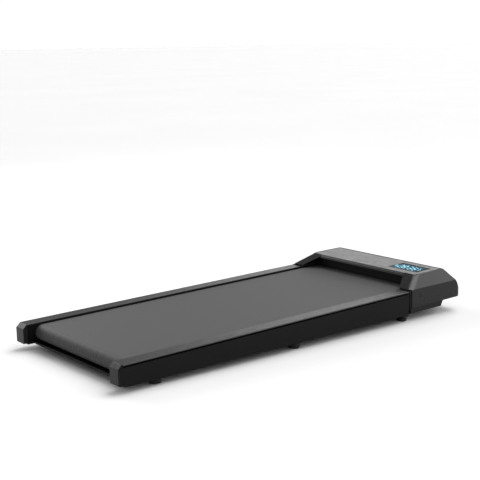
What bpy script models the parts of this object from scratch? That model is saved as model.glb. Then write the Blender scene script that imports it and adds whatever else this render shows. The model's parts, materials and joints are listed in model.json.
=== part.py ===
"""Under-desk walking treadmill with a low motor hood and no handrails.

Everything that the rails carry is drawn in the deck frame. Its origin, the empty deck_datum,
stands at the rear end of the rails, on the plane of their tops, and leans up towards the hood.
There +X is the walker's right, +Y runs from the rear end to the hood, and +Z is square to the
deck. The feet and everything else stand on the floor plane z = 0. Lengths are in metres.
"""
import math

import bmesh
import bpy
from mathutils import Euler, Matrix, Vector

# --- Driving dimensions ---------------------------------------------------------------------
HALF_WIDTH = 0.2500          # outer faces of rails and hood
REAR_Y = -0.60545            # rear end of the rails; the object's box is centred on y = 0
RAIL_HEIGHT = 0.0710         # rail tops above the floor, at the rear end
INCLINE = math.radians(1.05) # the deck rises towards the hood
GAP = 0.0003                 # clearance between pieces that touch

RAIL_WIDTH = 0.0407
RAIL_END = 0.9850            # front end of the visible rails
RAIL_CHAMFER = 0.0105
BEAM_TOP = -0.0050           # lower side of the shadow groove under the rail cap
BEAM_BOTTOM_REAR = -0.0545
BEAM_BOTTOM_FRONT = -0.0673
BEAM_WALL = 0.0025

BELT_TOP = -0.0050
BELT_HALF_WIDTH = 0.2040
BELT_THICKNESS = 0.0018
ROLLER_RADIUS = 0.0190
ROLLER_WALL = 0.0020
ROLLER_HALF_LENGTH = 0.2055
AXLE_RADIUS = 0.0070
REAR_ROLLER_Y = 0.0540
FRONT_ROLLER_Y = 1.0600
BELT_INNER_RADIUS = ROLLER_RADIUS + GAP
ROLLER_Z = BELT_TOP - BELT_THICKNESS - BELT_INNER_RADIUS

HOOD_REAR = 0.9880
HOOD_TOP = 0.0335
HOOD_TOP_REAR = 1.0450
HOOD_TOP_FRONT = 1.1640
HOOD_FRONT = 1.2100
HOOD_CORNER = 0.0200         # radius of the front corners, seen from above
HOOD_BOTTOM = -0.0506
HOOD_TOP_HALF = 0.2185       # half width of the flat top, inside the side bevels
HOOD_CREASE = 0.0030         # height where the side bevel meets the upright cheek
HOOD_FILLET = 0.0300         # radius between the cheek's rear ramp and its side bevel
HOOD_WALL = 0.0030
SOCKET_FACE = 1.1900         # back of the recess that holds the inlet, switch and breaker

PULLEY_RADIUS = 0.0270
MOTOR_PULLEY_RADIUS = 0.0095
DRIVE_BELT_THICKNESS = 0.0026
DRIVE_BELT_X = (-0.2240, -0.2120)
MOTOR_Y = 1.1300
MOTOR_Z = -0.0140
MOTOR_RADIUS = 0.0285

FOOT_X = 0.2220
REAR_FOOT_Y = 0.1170
MIDDLE_FOOT_Y = 0.5630
FRONT_FOOT_Y = 0.9800

TENSION_BOLT_X = 0.2280
HOOD_SCREW_Y = 1.0280
HOOD_SCREW_Z = -0.0190
ROCKER_TILT = 8.0            # degrees that the switch leans to either side of level

WHEEL_X = 0.1700
WHEEL_Y = 1.1610
WHEEL_Z = -0.0713
WHEEL_RADIUS = 0.0180

SIDES = (("right", 1.0), ("left", -1.0))
AXIS_TURNS = {
    "X": Euler((math.pi / 2, 0.0, math.pi / 2)),
    "Y": Euler((math.pi / 2, 0.0, 0.0)),
    "Z": Euler((0.0, 0.0, 0.0)),
}


# --- Scene, collections and materials -------------------------------------------------------
for old_object in list(bpy.data.objects):
    bpy.data.objects.remove(old_object, do_unlink=True)

parts = bpy.data.collections.new("walking_treadmill")
cutters = bpy.data.collections.new("cutters")
bpy.context.scene.collection.children.link(parts)
bpy.context.scene.collection.children.link(cutters)

deck = bpy.data.objects.new("deck_datum", None)
deck.location = (0.0, REAR_Y, RAIL_HEIGHT)
deck.rotation_euler = (INCLINE, 0.0, 0.0)
parts.objects.link(deck)
DECK_TO_WORLD = Matrix.Translation(deck.location) @ Matrix.Rotation(INCLINE, 4, "X")


def make_material(name, colour, roughness, metallic=0.0):
    material = bpy.data.materials.new(name)
    material.use_nodes = True
    shader = material.node_tree.nodes["Principled BSDF"]
    shader.inputs["Base Color"].default_value = (*colour, 1.0)
    shader.inputs["Roughness"].default_value = roughness
    shader.inputs["Metallic"].default_value = metallic
    return material


BLACK_STEEL = make_material("black_painted_steel", (0.013, 0.013, 0.014), 0.45, 0.3)
BARE_STEEL = make_material("turned_steel", (0.56, 0.56, 0.55), 0.32, 1.0)
ZINC_STEEL = make_material("zinc_plated_steel", (0.62, 0.63, 0.65), 0.38, 1.0)
ALUMINIUM = make_material("cast_aluminium", (0.58, 0.59, 0.60), 0.45, 1.0)
CHARCOAL_PLASTIC = make_material("charcoal_plastic", (0.060, 0.060, 0.063), 0.42)
GRAPHITE_PLASTIC = make_material("graphite_satin_plastic", (0.150, 0.150, 0.152), 0.36)
BLACK_PLASTIC = make_material("black_plastic", (0.014, 0.014, 0.015), 0.50)
BELT_FABRIC = make_material("walking_belt_pvc", (0.085, 0.085, 0.086), 0.72)
RUBBER = make_material("black_rubber", (0.012, 0.012, 0.012), 0.80)
BOARD = make_material("deck_fibreboard", (0.230, 0.150, 0.085), 0.60)
SMOKED_ACRYLIC = make_material("smoked_acrylic", (0.008, 0.010, 0.012), 0.08)
LED_DIGITS = make_material("led_digits", (0.250, 0.700, 0.850), 0.40)
CIRCUIT = make_material("circuit_board_green", (0.020, 0.110, 0.050), 0.50)


# --- Modelling helpers ----------------------------------------------------------------------
def place(obj, material, parent, cutter):
    """Link an object as a part or as a hidden cutter, under its parent."""
    if cutter:
        obj.hide_render = True
        obj.display_type = "WIRE"
        cutters.objects.link(obj)
    else:
        obj.data.materials.append(material)
        parts.objects.link(obj)
    obj.parent = parent
    return obj


def box(name, low, high, material=None, parent=deck, cutter=False):
    """A box between two corners, with its origin at its middle."""
    low, high = Vector(low), Vector(high)
    bm = bmesh.new()
    bmesh.ops.create_cube(bm, size=1.0, matrix=Matrix.Diagonal((*(high - low), 1.0)))
    mesh = bpy.data.meshes.new(name)
    bm.to_mesh(mesh)
    bm.free()
    obj = bpy.data.objects.new(name, mesh)
    obj.location = (low + high) / 2.0
    return place(obj, material, parent, cutter)


def cylinder(name, axis, centre, radius, length, material=None, parent=deck, cutter=False,
             sides=24):
    """A round bar along one axis, with its origin at its middle."""
    turn = AXIS_TURNS[axis].to_matrix().to_4x4()
    bm = bmesh.new()
    bmesh.ops.create_cone(bm, cap_ends=True, segments=sides, radius1=radius, radius2=radius,
                          depth=length, matrix=turn)
    mesh = bpy.data.meshes.new(name)
    bm.to_mesh(mesh)
    bm.free()
    mesh.shade_smooth()
    mesh.set_sharp_from_angle(angle=math.radians(40.0))
    obj = bpy.data.objects.new(name, mesh)
    obj.location = centre
    return place(obj, material, parent, cutter)


def prism(name, axis, outlines, start, end, material=None, parent=deck, cutter=False,
          origin=(0, 0), smooth=False):
    """Closed outlines pushed along an axis from start to end.

    Outline points are (y, z) along X, (x, z) along Y and (x, y) along Z. An outline inside
    another one is a hole. The object's origin lies at `origin` in the outline's plane.
    """
    curve = bpy.data.curves.new(name, "CURVE")
    curve.dimensions = "2D"
    curve.fill_mode = "BOTH"
    curve.extrude = abs(end - start) / 2.0
    for outline in outlines:
        spline = curve.splines.new("POLY")
        spline.points.add(len(outline) - 1)
        spline.use_cyclic_u = True
        for point, (u, v) in zip(spline.points, outline):
            point.co = (u - origin[0], v - origin[1], 0.0, 1.0)
    flat = bpy.data.objects.new(name + "_outline", curve)
    middle = (start + end) / 2.0
    flat.location = {
        "X": (middle, origin[0], origin[1]),
        "Y": (origin[0], middle, origin[1]),
        "Z": (origin[0], origin[1], middle),
    }[axis]
    flat.rotation_euler = AXIS_TURNS[axis]
    parts.objects.link(flat)
    bpy.context.view_layer.update()

    evaluated = flat.evaluated_get(bpy.context.evaluated_depsgraph_get())
    mesh = bpy.data.meshes.new_from_object(evaluated)
    mesh.name = name
    bm = bmesh.new()
    bm.from_mesh(mesh)
    bmesh.ops.remove_doubles(bm, verts=bm.verts, dist=0.00002)
    bm.to_mesh(mesh)
    bm.free()
    mesh.materials.clear()
    if smooth:
        mesh.shade_smooth()
        mesh.set_sharp_from_angle(angle=math.radians(30.0))
    obj = bpy.data.objects.new(name, mesh)
    obj.matrix_world = flat.matrix_world
    bpy.data.objects.remove(flat, do_unlink=True)
    return place(obj, material, parent, cutter)


def turned(name, axis, centre, profile, material=None, parent=deck, ring=False, steps=32):
    """A profile of (radius, height) points turned about an axis through `centre`.

    The profile runs down the outer side; a ring's profile closes through its bore.
    """
    mesh = bpy.data.meshes.new(name)
    bm = bmesh.new()
    points = [bm.verts.new((radius, 0.0, height)) for radius, height in profile]
    for first, second in zip(points, points[1:]):
        bm.edges.new((first, second))
    if ring:
        bm.edges.new((points[-1], points[0]))
    bm.to_mesh(mesh)
    bm.free()
    obj = bpy.data.objects.new(name, mesh)
    obj.location = centre
    obj.rotation_euler = AXIS_TURNS[axis]
    screw = obj.modifiers.new("Turn", "SCREW")
    screw.steps = steps
    screw.render_steps = steps
    screw.use_merge_vertices = True
    screw.merge_threshold = 0.00001
    return place(obj, material, parent, False)


def cable(name, route, radius, material, parent=deck):
    """A round cable through the points of a route, smoothed between them."""
    curve = bpy.data.curves.new(name, "CURVE")
    curve.dimensions = "3D"
    curve.bevel_depth = radius
    curve.bevel_resolution = 2
    curve.use_fill_caps = True
    points = smooth_route(route, 4)
    spline = curve.splines.new("POLY")
    spline.points.add(len(points) - 1)
    for point, position in zip(spline.points, points):
        point.co = (*position, 1.0)
    obj = bpy.data.objects.new(name, curve)
    return place(obj, material, parent, False)


def boolean(target, operation, other):
    """Cut, join or trim a part with a hidden cutter."""
    modifier = target.modifiers.new(operation.title() + "_" + other.name, "BOOLEAN")
    modifier.operation = operation
    modifier.solver = "EXACT"
    modifier.object = other


def cut(target, *others):
    for other in others:
        boolean(target, "DIFFERENCE", other)


def join(target, *others):
    for other in others:
        boolean(target, "UNION", other)


def round_edges(target, width, segments=2, angle=25.0):
    modifier = target.modifiers.new("Rounding", "BEVEL")
    modifier.width = width
    modifier.segments = segments
    modifier.limit_method = "ANGLE"
    modifier.angle_limit = math.radians(angle)
    modifier.use_clamp_overlap = True


# --- Outlines -------------------------------------------------------------------------------
def arc(centre, radius, start, end, steps):
    """Points on an arc, from one angle to another, in degrees."""
    points = []
    for step in range(steps + 1):
        angle = math.radians(start + (end - start) * step / steps)
        points.append((centre[0] + radius * math.cos(angle), centre[1] + radius * math.sin(angle)))
    return points


def blend_curve(start, control, end, steps):
    """Points on a parabola from start to end, pulled towards a control point."""
    points = []
    for step in range(steps + 1):
        t = step / steps
        weights = ((1 - t) ** 2, 2 * t * (1 - t), t ** 2)
        points.append(tuple(sum(w * p[i] for w, p in zip(weights, (start, control, end)))
                            for i in range(2)))
    return points


def smooth_route(route, steps):
    """A Catmull-Rom curve through the points of a route."""
    ends = [route[0]] + list(route) + [route[-1]]
    points = []
    for before, start, end, after in zip(ends, ends[1:], ends[2:], ends[3:]):
        before, start, end, after = (Vector(p) for p in (before, start, end, after))
        for step in range(steps):
            t = step / steps
            points.append(0.5 * (2 * start + (end - before) * t
                                 + (2 * before - 5 * start + 4 * end - after) * t ** 2
                                 + (3 * start - before - 3 * end + after) * t ** 3))
    points.append(Vector(route[-1]))
    return points


def loop_outline(first, first_radius, second, second_radius, steps=16):
    """The outline of a band stretched round two circles, the second one farther along +Y."""
    reach = math.dist(first, second)
    lean = math.degrees(math.atan2(second[1] - first[1], second[0] - first[0]))
    wrap = math.degrees(math.acos((first_radius - second_radius) / reach))
    return (arc(second, second_radius, lean - wrap, lean + wrap, steps)
            + arc(first, first_radius, lean + wrap, lean - wrap + 360.0, steps))


def beam_bottom(y):
    """Height of the beam's lower edge in the deck frame; the beam is a long wedge."""
    slope = (BEAM_BOTTOM_FRONT - BEAM_BOTTOM_REAR) / RAIL_END
    return BEAM_BOTTOM_REAR + slope * y


def beam_edge_above_floor(y):
    """World Y and Z of the beam's lower edge at a station y of the deck frame."""
    world = DECK_TO_WORLD @ Vector((0.0, y, beam_bottom(y)))
    return world.y, world.z


# --- Frame: side beams, rail caps, end caps and cross members -------------------------------
def side_beam(side, sign):
    """A welded wedge beam: a box tube with a taller outer skin and a front tongue."""
    name = "side_beam_" + side
    tube_start = 0.0125
    tube = [(tube_start, -0.0024), (RAIL_END, -0.0024),
            (RAIL_END, beam_bottom(RAIL_END) + 0.0005), (tube_start, beam_bottom(0) + 0.0005)]
    beam = prism(name, "X", [tube], sign * 0.2100, sign * 0.2470, BLACK_STEEL)

    skin = [(0.0010, -0.0505), (0.0010, BEAM_TOP - 0.0075), (0.0085, BEAM_TOP),
            (RAIL_END, BEAM_TOP), (RAIL_END, beam_bottom(RAIL_END)),
            (0.0170, beam_bottom(0.0170)), (0.0130, -0.0505)]
    outer_skin = prism(name + "_skin", "X", [skin], sign * 0.2465, sign * 0.2497, cutter=True)
    cavity_end = RAIL_END - 0.0030
    cavity = [(-0.0050, -0.0024 - BEAM_WALL), (cavity_end, -0.0024 - BEAM_WALL),
              (cavity_end, beam_bottom(cavity_end) + BEAM_WALL + 0.0005),
              (-0.0050, beam_bottom(0) + BEAM_WALL + 0.0005)]
    hollow = prism(name + "_hollow", "X", [cavity], sign * 0.2125, sign * 0.2440, cutter=True)
    cut(beam, hollow)
    join(beam, outer_skin)

    adjuster_plate = box(name + "_adjuster_plate", (0.2120 if sign > 0 else -0.2445, 0.0280, -0.0530),
                         (0.2445 if sign > 0 else -0.2120, 0.0310, -0.0045), cutter=True)
    tongue = box(name + "_tongue", (0.2330 if sign > 0 else -0.2370, RAIL_END - 0.0040, -0.0600),
                 (0.2370 if sign > 0 else -0.2330, 1.1000, -0.0080), cutter=True)
    join(beam, adjuster_plate, tongue)

    bolt_hole = cylinder(name + "_bolt_hole", "Y", (sign * TENSION_BOLT_X, 0.0295, ROLLER_Z),
                         0.0034, 0.0080, cutter=True)
    slot_half_height = AXLE_RADIUS + 0.0003
    axle_slot = box(name + "_axle_slot",
                    (sign * 0.2110 - 0.0040, REAR_ROLLER_Y - 0.0120, ROLLER_Z - slot_half_height),
                    (sign * 0.2110 + 0.0040, REAR_ROLLER_Y + 0.0100, ROLLER_Z + slot_half_height),
                    cutter=True)
    axle_hole = cylinder(name + "_axle_hole", "X", (sign * 0.2350, FRONT_ROLLER_Y, ROLLER_Z),
                         AXLE_RADIUS + 0.0004, 0.0100, cutter=True)
    screw_hole = cylinder(name + "_screw_hole", "X", (sign * 0.2350, HOOD_SCREW_Y, HOOD_SCREW_Z),
                          0.0022, 0.0100, cutter=True, sides=12)
    cut(beam, bolt_hole, axle_slot, axle_hole, screw_hole)


def rail_cap(side, sign):
    """The plastic tread strip that clips over the beam, with a rolled outer edge."""
    inner = HALF_WIDTH - RAIL_WIDTH
    outer = HALF_WIDTH - 0.0002
    roll = arc((outer - 0.0024, -0.0024), 0.0024, 90.0, 0.0, 4)
    outline = ([(inner, -0.0021), (inner, -0.0007), (inner + 0.0007, 0.0)] + roll
               + [(outer, -0.0032), (0.2474, -0.0032), (0.2474, -0.0021)])
    outline = [(sign * x, z) for x, z in outline]
    prism("rail_cap_" + side, "Y", [outline], 0.0123, RAIL_END - 0.0005,
          CHARCOAL_PLASTIC, smooth=True)


def end_cap(side, sign):
    """The chamfered plug that closes the beam's rear end."""
    inner, outer = HALF_WIDTH - RAIL_WIDTH, 0.2461
    outline = [(0.0, -0.0505), (0.0, -RAIL_CHAMFER), (RAIL_CHAMFER, 0.0), (0.0120, 0.0),
               (0.0120, -0.0505)]
    name = "end_cap_" + side
    cap = prism(name, "X", [outline], sign * inner, sign * outer, CHARCOAL_PLASTIC)
    round_edges(cap, 0.0008, 2)
    low_x, high_x = sorted((sign * 0.2129, sign * 0.2436))
    plug = box(name + "_plug", (low_x, 0.0100, -0.0510 + 0.0022), (high_x, 0.0180, -0.0053),
               cutter=True)
    join(cap, plug)


def tension_bolt(side, sign):
    """The hex bolt that draws the rear axle back; its head bears on the adjuster plate."""
    head = [(0.0065 * math.cos(math.radians(60 * i)), 0.0065 * math.sin(math.radians(60 * i)))
            for i in range(6)]
    head = [(sign * TENSION_BOLT_X + x, ROLLER_Z + z) for x, z in head]
    name = "tension_bolt_" + side
    bolt = prism(name, "Y", [head], 0.0225, 0.0277, ZINC_STEEL, origin=(sign * TENSION_BOLT_X, ROLLER_Z))
    shank = cylinder(name + "_shank", "Y", (sign * TENSION_BOLT_X, 0.0440, ROLLER_Z), 0.0030, 0.0340,
                     cutter=True, sides=16)
    join(bolt, shank)


def cross_members():
    """The rear crossbar, and the two supports that carry the deck inside the belt loop."""
    half_span = 0.2100 - GAP
    crossbar = box("rear_crossbar", (-half_span, 0.0330, -0.0562), (half_span, 0.0580, -0.0498),
                   BLACK_STEEL)
    channel = box("rear_crossbar_channel", (-0.3, 0.0350, -0.0600), (0.3, 0.0560, -0.0518),
                  cutter=True)
    cut(crossbar, channel)
    for end, y in (("rear", 0.2500), ("front", 0.8500)):
        support = box("deck_support_" + end, (-half_span, y - 0.0150, -0.0385),
                      (half_span, y + 0.0150, -0.0266), BLACK_STEEL)
        round_edges(support, 0.0015, 2)
        for side, sign in SIDES:
            turned("deck_cushion_%s_%s" % (end, side), "Z", (sign * 0.1500, y, -0.0244),
                   [(0.0, 0.0019), (0.0110, 0.0019), (0.0125, 0.0004), (0.0125, -0.0019),
                    (0.0, -0.0019)], RUBBER, steps=20)


def deck_board():
    """The waxed fibreboard that the belt slides on."""
    top = BELT_TOP - BELT_THICKNESS - GAP
    board = box("deck_board", (-0.2085, 0.0780, top - 0.0150), (0.2085, 1.0360, top), BOARD)
    round_edges(board, 0.0020, 2)


def motor_tray():
    """The folded steel tray that closes the frame under the motor and roller."""
    half_width, bottom, top, sheet = 0.2325, -0.0620, -0.0490, 0.0025
    inner = half_width - sheet
    channel = [(-half_width, top), (-half_width, bottom), (half_width, bottom), (half_width, top),
               (inner, top), (inner, bottom + sheet), (-inner, bottom + sheet), (-inner, top)]
    tray = prism("motor_tray", "Y", [channel], 0.9940, 1.1200, BLACK_STEEL)
    rear_lip = box("motor_tray_rear_lip", (-0.2050, 0.9620, bottom + 0.0002),
                   (0.2050, 0.9980, bottom + sheet - 0.0002), cutter=True)
    join(tray, rear_lip)


# --- Walking belt and rollers ---------------------------------------------------------------
def walking_belt():
    rear = (REAR_ROLLER_Y, ROLLER_Z)
    front = (FRONT_ROLLER_Y, ROLLER_Z)
    outer_radius = BELT_INNER_RADIUS + BELT_THICKNESS
    outer = loop_outline(rear, outer_radius, front, outer_radius, 20)
    inner = loop_outline(rear, BELT_INNER_RADIUS, front, BELT_INNER_RADIUS, 20)
    prism("walking_belt", "X", [outer, inner], -BELT_HALF_WIDTH, BELT_HALF_WIDTH, BELT_FABRIC,
          smooth=True)


def roller(name, y, left_end, right_end, bearing_stations):
    """A steel tube turning on two ball bearings about a fixed axle."""
    centre = (0.0, y, ROLLER_Z)
    bore = ROLLER_RADIUS - ROLLER_WALL
    turned(name, "X", centre, [(ROLLER_RADIUS, right_end), (ROLLER_RADIUS, left_end),
                               (bore, left_end), (bore, right_end)], BARE_STEEL, ring=True,
           steps=40)
    for side, x in bearing_stations:
        turned("%s_bearing_%s" % (name, side), "X", centre,
               [(bore - GAP, x + 0.0045), (bore - GAP, x - 0.0045),
                (AXLE_RADIUS + GAP, x - 0.0045), (AXLE_RADIUS + GAP, x + 0.0045)],
               ZINC_STEEL, ring=True, steps=24)


def rollers():
    roller("rear_roller", REAR_ROLLER_Y, -ROLLER_HALF_LENGTH, ROLLER_HALF_LENGTH,
           (("right", 0.1985), ("left", -0.1985)))
    roller("front_roller", FRONT_ROLLER_Y, -0.2270, ROLLER_HALF_LENGTH,
           (("right", 0.1985), ("left", -0.2200)))
    rear_axle = cylinder("rear_axle", "X", (0.0, REAR_ROLLER_Y, ROLLER_Z), AXLE_RADIUS, 0.4720,
                         BARE_STEEL)
    for side, sign in SIDES:
        tapped = cylinder("rear_axle_thread_" + side, "Y",
                          (sign * TENSION_BOLT_X, REAR_ROLLER_Y, ROLLER_Z), 0.0034, 0.0300,
                          cutter=True, sides=16)
        cut(rear_axle, tapped)
    cylinder("front_axle", "X", (0.0, FRONT_ROLLER_Y, ROLLER_Z), AXLE_RADIUS, 0.4840, BARE_STEEL)


# --- Drive ----------------------------------------------------------------------------------
def ribbed_rim(radius, start, end, ribs, depth):
    """Down one V-ribbed rim, from the +X end to the -X end."""
    pitch = (end - start) / ribs
    points = []
    for rib in range(ribs):
        x = end - rib * pitch
        points += [(radius, x), (radius - depth, x - pitch / 2.0)]
    return points + [(radius, start)]


def drive():
    motor = (0.0, MOTOR_Y, MOTOR_Z)
    roller_centre = (0.0, FRONT_ROLLER_Y, ROLLER_Z)
    turned("roller_pulley", "X", roller_centre,
           [(PULLEY_RADIUS + 0.0015, -0.2098), (PULLEY_RADIUS + 0.0015, -0.2112),
            (PULLEY_RADIUS, -0.2116), (PULLEY_RADIUS, -0.2244),
            (PULLEY_RADIUS + 0.0015, -0.2248), (PULLEY_RADIUS + 0.0015, -0.2262),
            (ROLLER_RADIUS + GAP, -0.2262), (ROLLER_RADIUS + GAP, -0.2098)],
           BLACK_PLASTIC, ring=True, steps=40)
    turned("motor_flywheel", "X", motor,
           [(0.0, -0.1992), (0.0265, -0.1992), (0.0270, -0.1998), (0.0270, -0.2074),
            (0.0265, -0.2080), (0.0120, -0.2084), (0.0120, -0.2112)]
           + ribbed_rim(MOTOR_PULLEY_RADIUS, -0.2244, -0.2116, 4, 0.0008)
           + [(0.0110, -0.2248), (0.0110, -0.2262), (0.0, -0.2262)], ALUMINIUM, steps=32)

    roller_end = (FRONT_ROLLER_Y, ROLLER_Z)
    motor_end = (MOTOR_Y, MOTOR_Z)
    inner = loop_outline(roller_end, PULLEY_RADIUS + GAP, motor_end, MOTOR_PULLEY_RADIUS + GAP)
    outer = loop_outline(roller_end, PULLEY_RADIUS + GAP + DRIVE_BELT_THICKNESS,
                         motor_end, MOTOR_PULLEY_RADIUS + GAP + DRIVE_BELT_THICKNESS)
    prism("drive_belt", "X", [outer, inner], DRIVE_BELT_X[0], DRIVE_BELT_X[1], RUBBER, smooth=True)

    casing = turned("motor_casing", "X", motor,
                    [(0.0092, -0.0720), (0.0250, -0.0720), (MOTOR_RADIUS, -0.0760),
                     (MOTOR_RADIUS, -0.1900), (0.0255, -0.1940), (0.0092, -0.1940)],
                    BLACK_STEEL, ring=True, steps=32)
    terminal_box = box("motor_terminal_box", (-0.1000, MOTOR_Y - 0.0350, MOTOR_Z - 0.0080),
                       (-0.0780, MOTOR_Y - 0.0180, MOTOR_Z + 0.0100), cutter=True)
    join(casing, terminal_box)
    turned("motor_rotor", "X", motor,
           [(0.0, -0.0650), (0.0060, -0.0650), (0.0060, -0.0690), (0.0088, -0.0694),
            (0.0088, -0.1940), (0.0060, -0.1944), (0.0060, -0.1989), (0.0, -0.1989)],
           BARE_STEEL, steps=24)

    saddle = MOTOR_Z - MOTOR_RADIUS - GAP
    rear, front = MOTOR_Y - 0.0320, MOTOR_Y + 0.0260
    mount = box("motor_mount", (-0.1950, rear, saddle - 0.0045), (-0.0800, front, saddle),
                BLACK_STEEL)
    face = box("motor_mount_face", (-0.1966, rear, saddle - 0.0045),
               (-0.1943, front, MOTOR_Z + 0.0180), cutter=True)
    leg = box("motor_mount_leg", (-0.1900, rear, -0.0592), (-0.0850, rear + 0.0160, saddle - 0.0020),
              cutter=True)
    shaft_hole = cylinder("motor_mount_shaft_hole", "X", (-0.1955, MOTOR_Y, MOTOR_Z), 0.0095,
                          0.0100, cutter=True)
    join(mount, face, leg)
    cut(mount, shaft_hole)


# --- Motor hood -----------------------------------------------------------------------------
def inset_outline(points, distance):
    """Move every edge of an anticlockwise outline inwards by a distance."""
    moved = []
    count = len(points)
    for index in range(count):
        before = Vector(points[index - 1])
        corner = Vector(points[index])
        after = Vector(points[(index + 1) % count])
        first = (corner - before).normalized()
        second = (after - corner).normalized()
        first_normal = Vector((-first.y, first.x))
        second_normal = Vector((-second.y, second.x))
        bisector = first_normal + second_normal
        scale = distance / (1.0 + first_normal.dot(second_normal))
        moved.append(tuple(corner + bisector * scale))
    return moved


def plane_through(corners):
    """Outward normal of the plane through three corners, anticlockwise as seen from outside."""
    first, second, third = (Vector(corner) for corner in corners)
    return (second - first).cross(third - first).normalized()


def half_space(name, point, normal):
    """A large block outside the plane through a point, square to an outward normal."""
    size = 0.40
    block = box(name, (-size / 2,) * 3, (size / 2,) * 3, cutter=True)
    block.location = point + normal * (size / 2.0)
    block.rotation_euler = normal.to_track_quat("Z", "Y").to_euler()
    return block


def hood_solid(name, inset, fillet_facets, material=None):
    """The hood's outer form, moved inwards all round by the inset."""
    nose = blend_curve((HOOD_FRONT, -0.0440), (1.2065, -0.0300), (HOOD_TOP_FRONT, HOOD_TOP), 6)
    side_view = ([(HOOD_REAR, HOOD_BOTTOM), (HOOD_FRONT, HOOD_BOTTOM)] + nose
                 + [(HOOD_TOP_REAR, HOOD_TOP), (HOOD_REAR, 0.0045)])
    if inset:
        side_view = inset_outline(side_view, inset)
        side_view[0] = (side_view[0][0], HOOD_BOTTOM - 0.0200)
        side_view[1] = (side_view[1][0], HOOD_BOTTOM - 0.0200)
    is_cutter = material is None
    solid = prism(name, "X", [side_view], -HALF_WIDTH, HALF_WIDTH, material, cutter=is_cutter)

    corner = HOOD_CORNER
    plan = [(-HALF_WIDTH, HOOD_REAR - 0.01), (HALF_WIDTH, HOOD_REAR - 0.01)]
    plan += arc((HALF_WIDTH - corner, HOOD_FRONT - corner), corner, 0.0, 90.0, 6)
    plan += arc((corner - HALF_WIDTH, HOOD_FRONT - corner), corner, 90.0, 180.0, 6)
    if inset:
        plan = inset_outline(plan, inset)
    plan_block = prism(name + "_plan", "Z", [plan], -0.1, 0.1, cutter=True)
    boolean(solid, "INTERSECT", plan_block)

    ramp_normal = Vector((0.0, 0.0045 - HOOD_TOP, HOOD_TOP_REAR - HOOD_REAR)).normalized()
    for side, sign in SIDES:
        top_corner = Vector((sign * HOOD_TOP_HALF, HOOD_TOP_REAR, HOOD_TOP))
        bevel = [(sign * HALF_WIDTH, 0.9, HOOD_CREASE + 0.0020),
                 (sign * HALF_WIDTH, 1.2, HOOD_CREASE - 0.0020), top_corner]
        if sign < 0:
            bevel.reverse()
        bevel_normal = plane_through(bevel)
        cut(solid, half_space("%s_bevel_%s" % (name, side), top_corner - bevel_normal * inset,
                              bevel_normal))
        reach = HOOD_FILLET / (1.0 + ramp_normal.dot(bevel_normal))
        fillet_axis = top_corner - (ramp_normal + bevel_normal) * reach
        for facet in range(fillet_facets):
            turn = (facet + 1.0) / (fillet_facets + 1.0)
            normal = ramp_normal.lerp(bevel_normal, turn).normalized()
            cut(solid, half_space("%s_fillet_%s_%d" % (name, side, facet),
                                  fillet_axis + normal * (HOOD_FILLET - inset), normal))
    return solid


def throat_outline(margin, low_margin, bottom, top):
    """The opening between the cheeks, seen along the deck: upright sides that lean in above.

    `margin` widens the part above the belt, and `low_margin` the part below it.
    """
    low_half = 0.2060
    step_height, lean_start, lean_height, lean = -0.0035, 0.0040, 0.0350, 0.0420
    half = low_half + margin
    top_half = half - lean * (top - lean_start) / lean_height
    right = [(half, lean_start), (top_half, top)]
    if bottom < step_height:
        right = [(low_half + low_margin, bottom), (low_half + low_margin, step_height),
                 (half, step_height)] + right
    else:
        right = [(half, bottom)] + right
    return right + [(-x, z) for x, z in reversed(right)]


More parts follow.
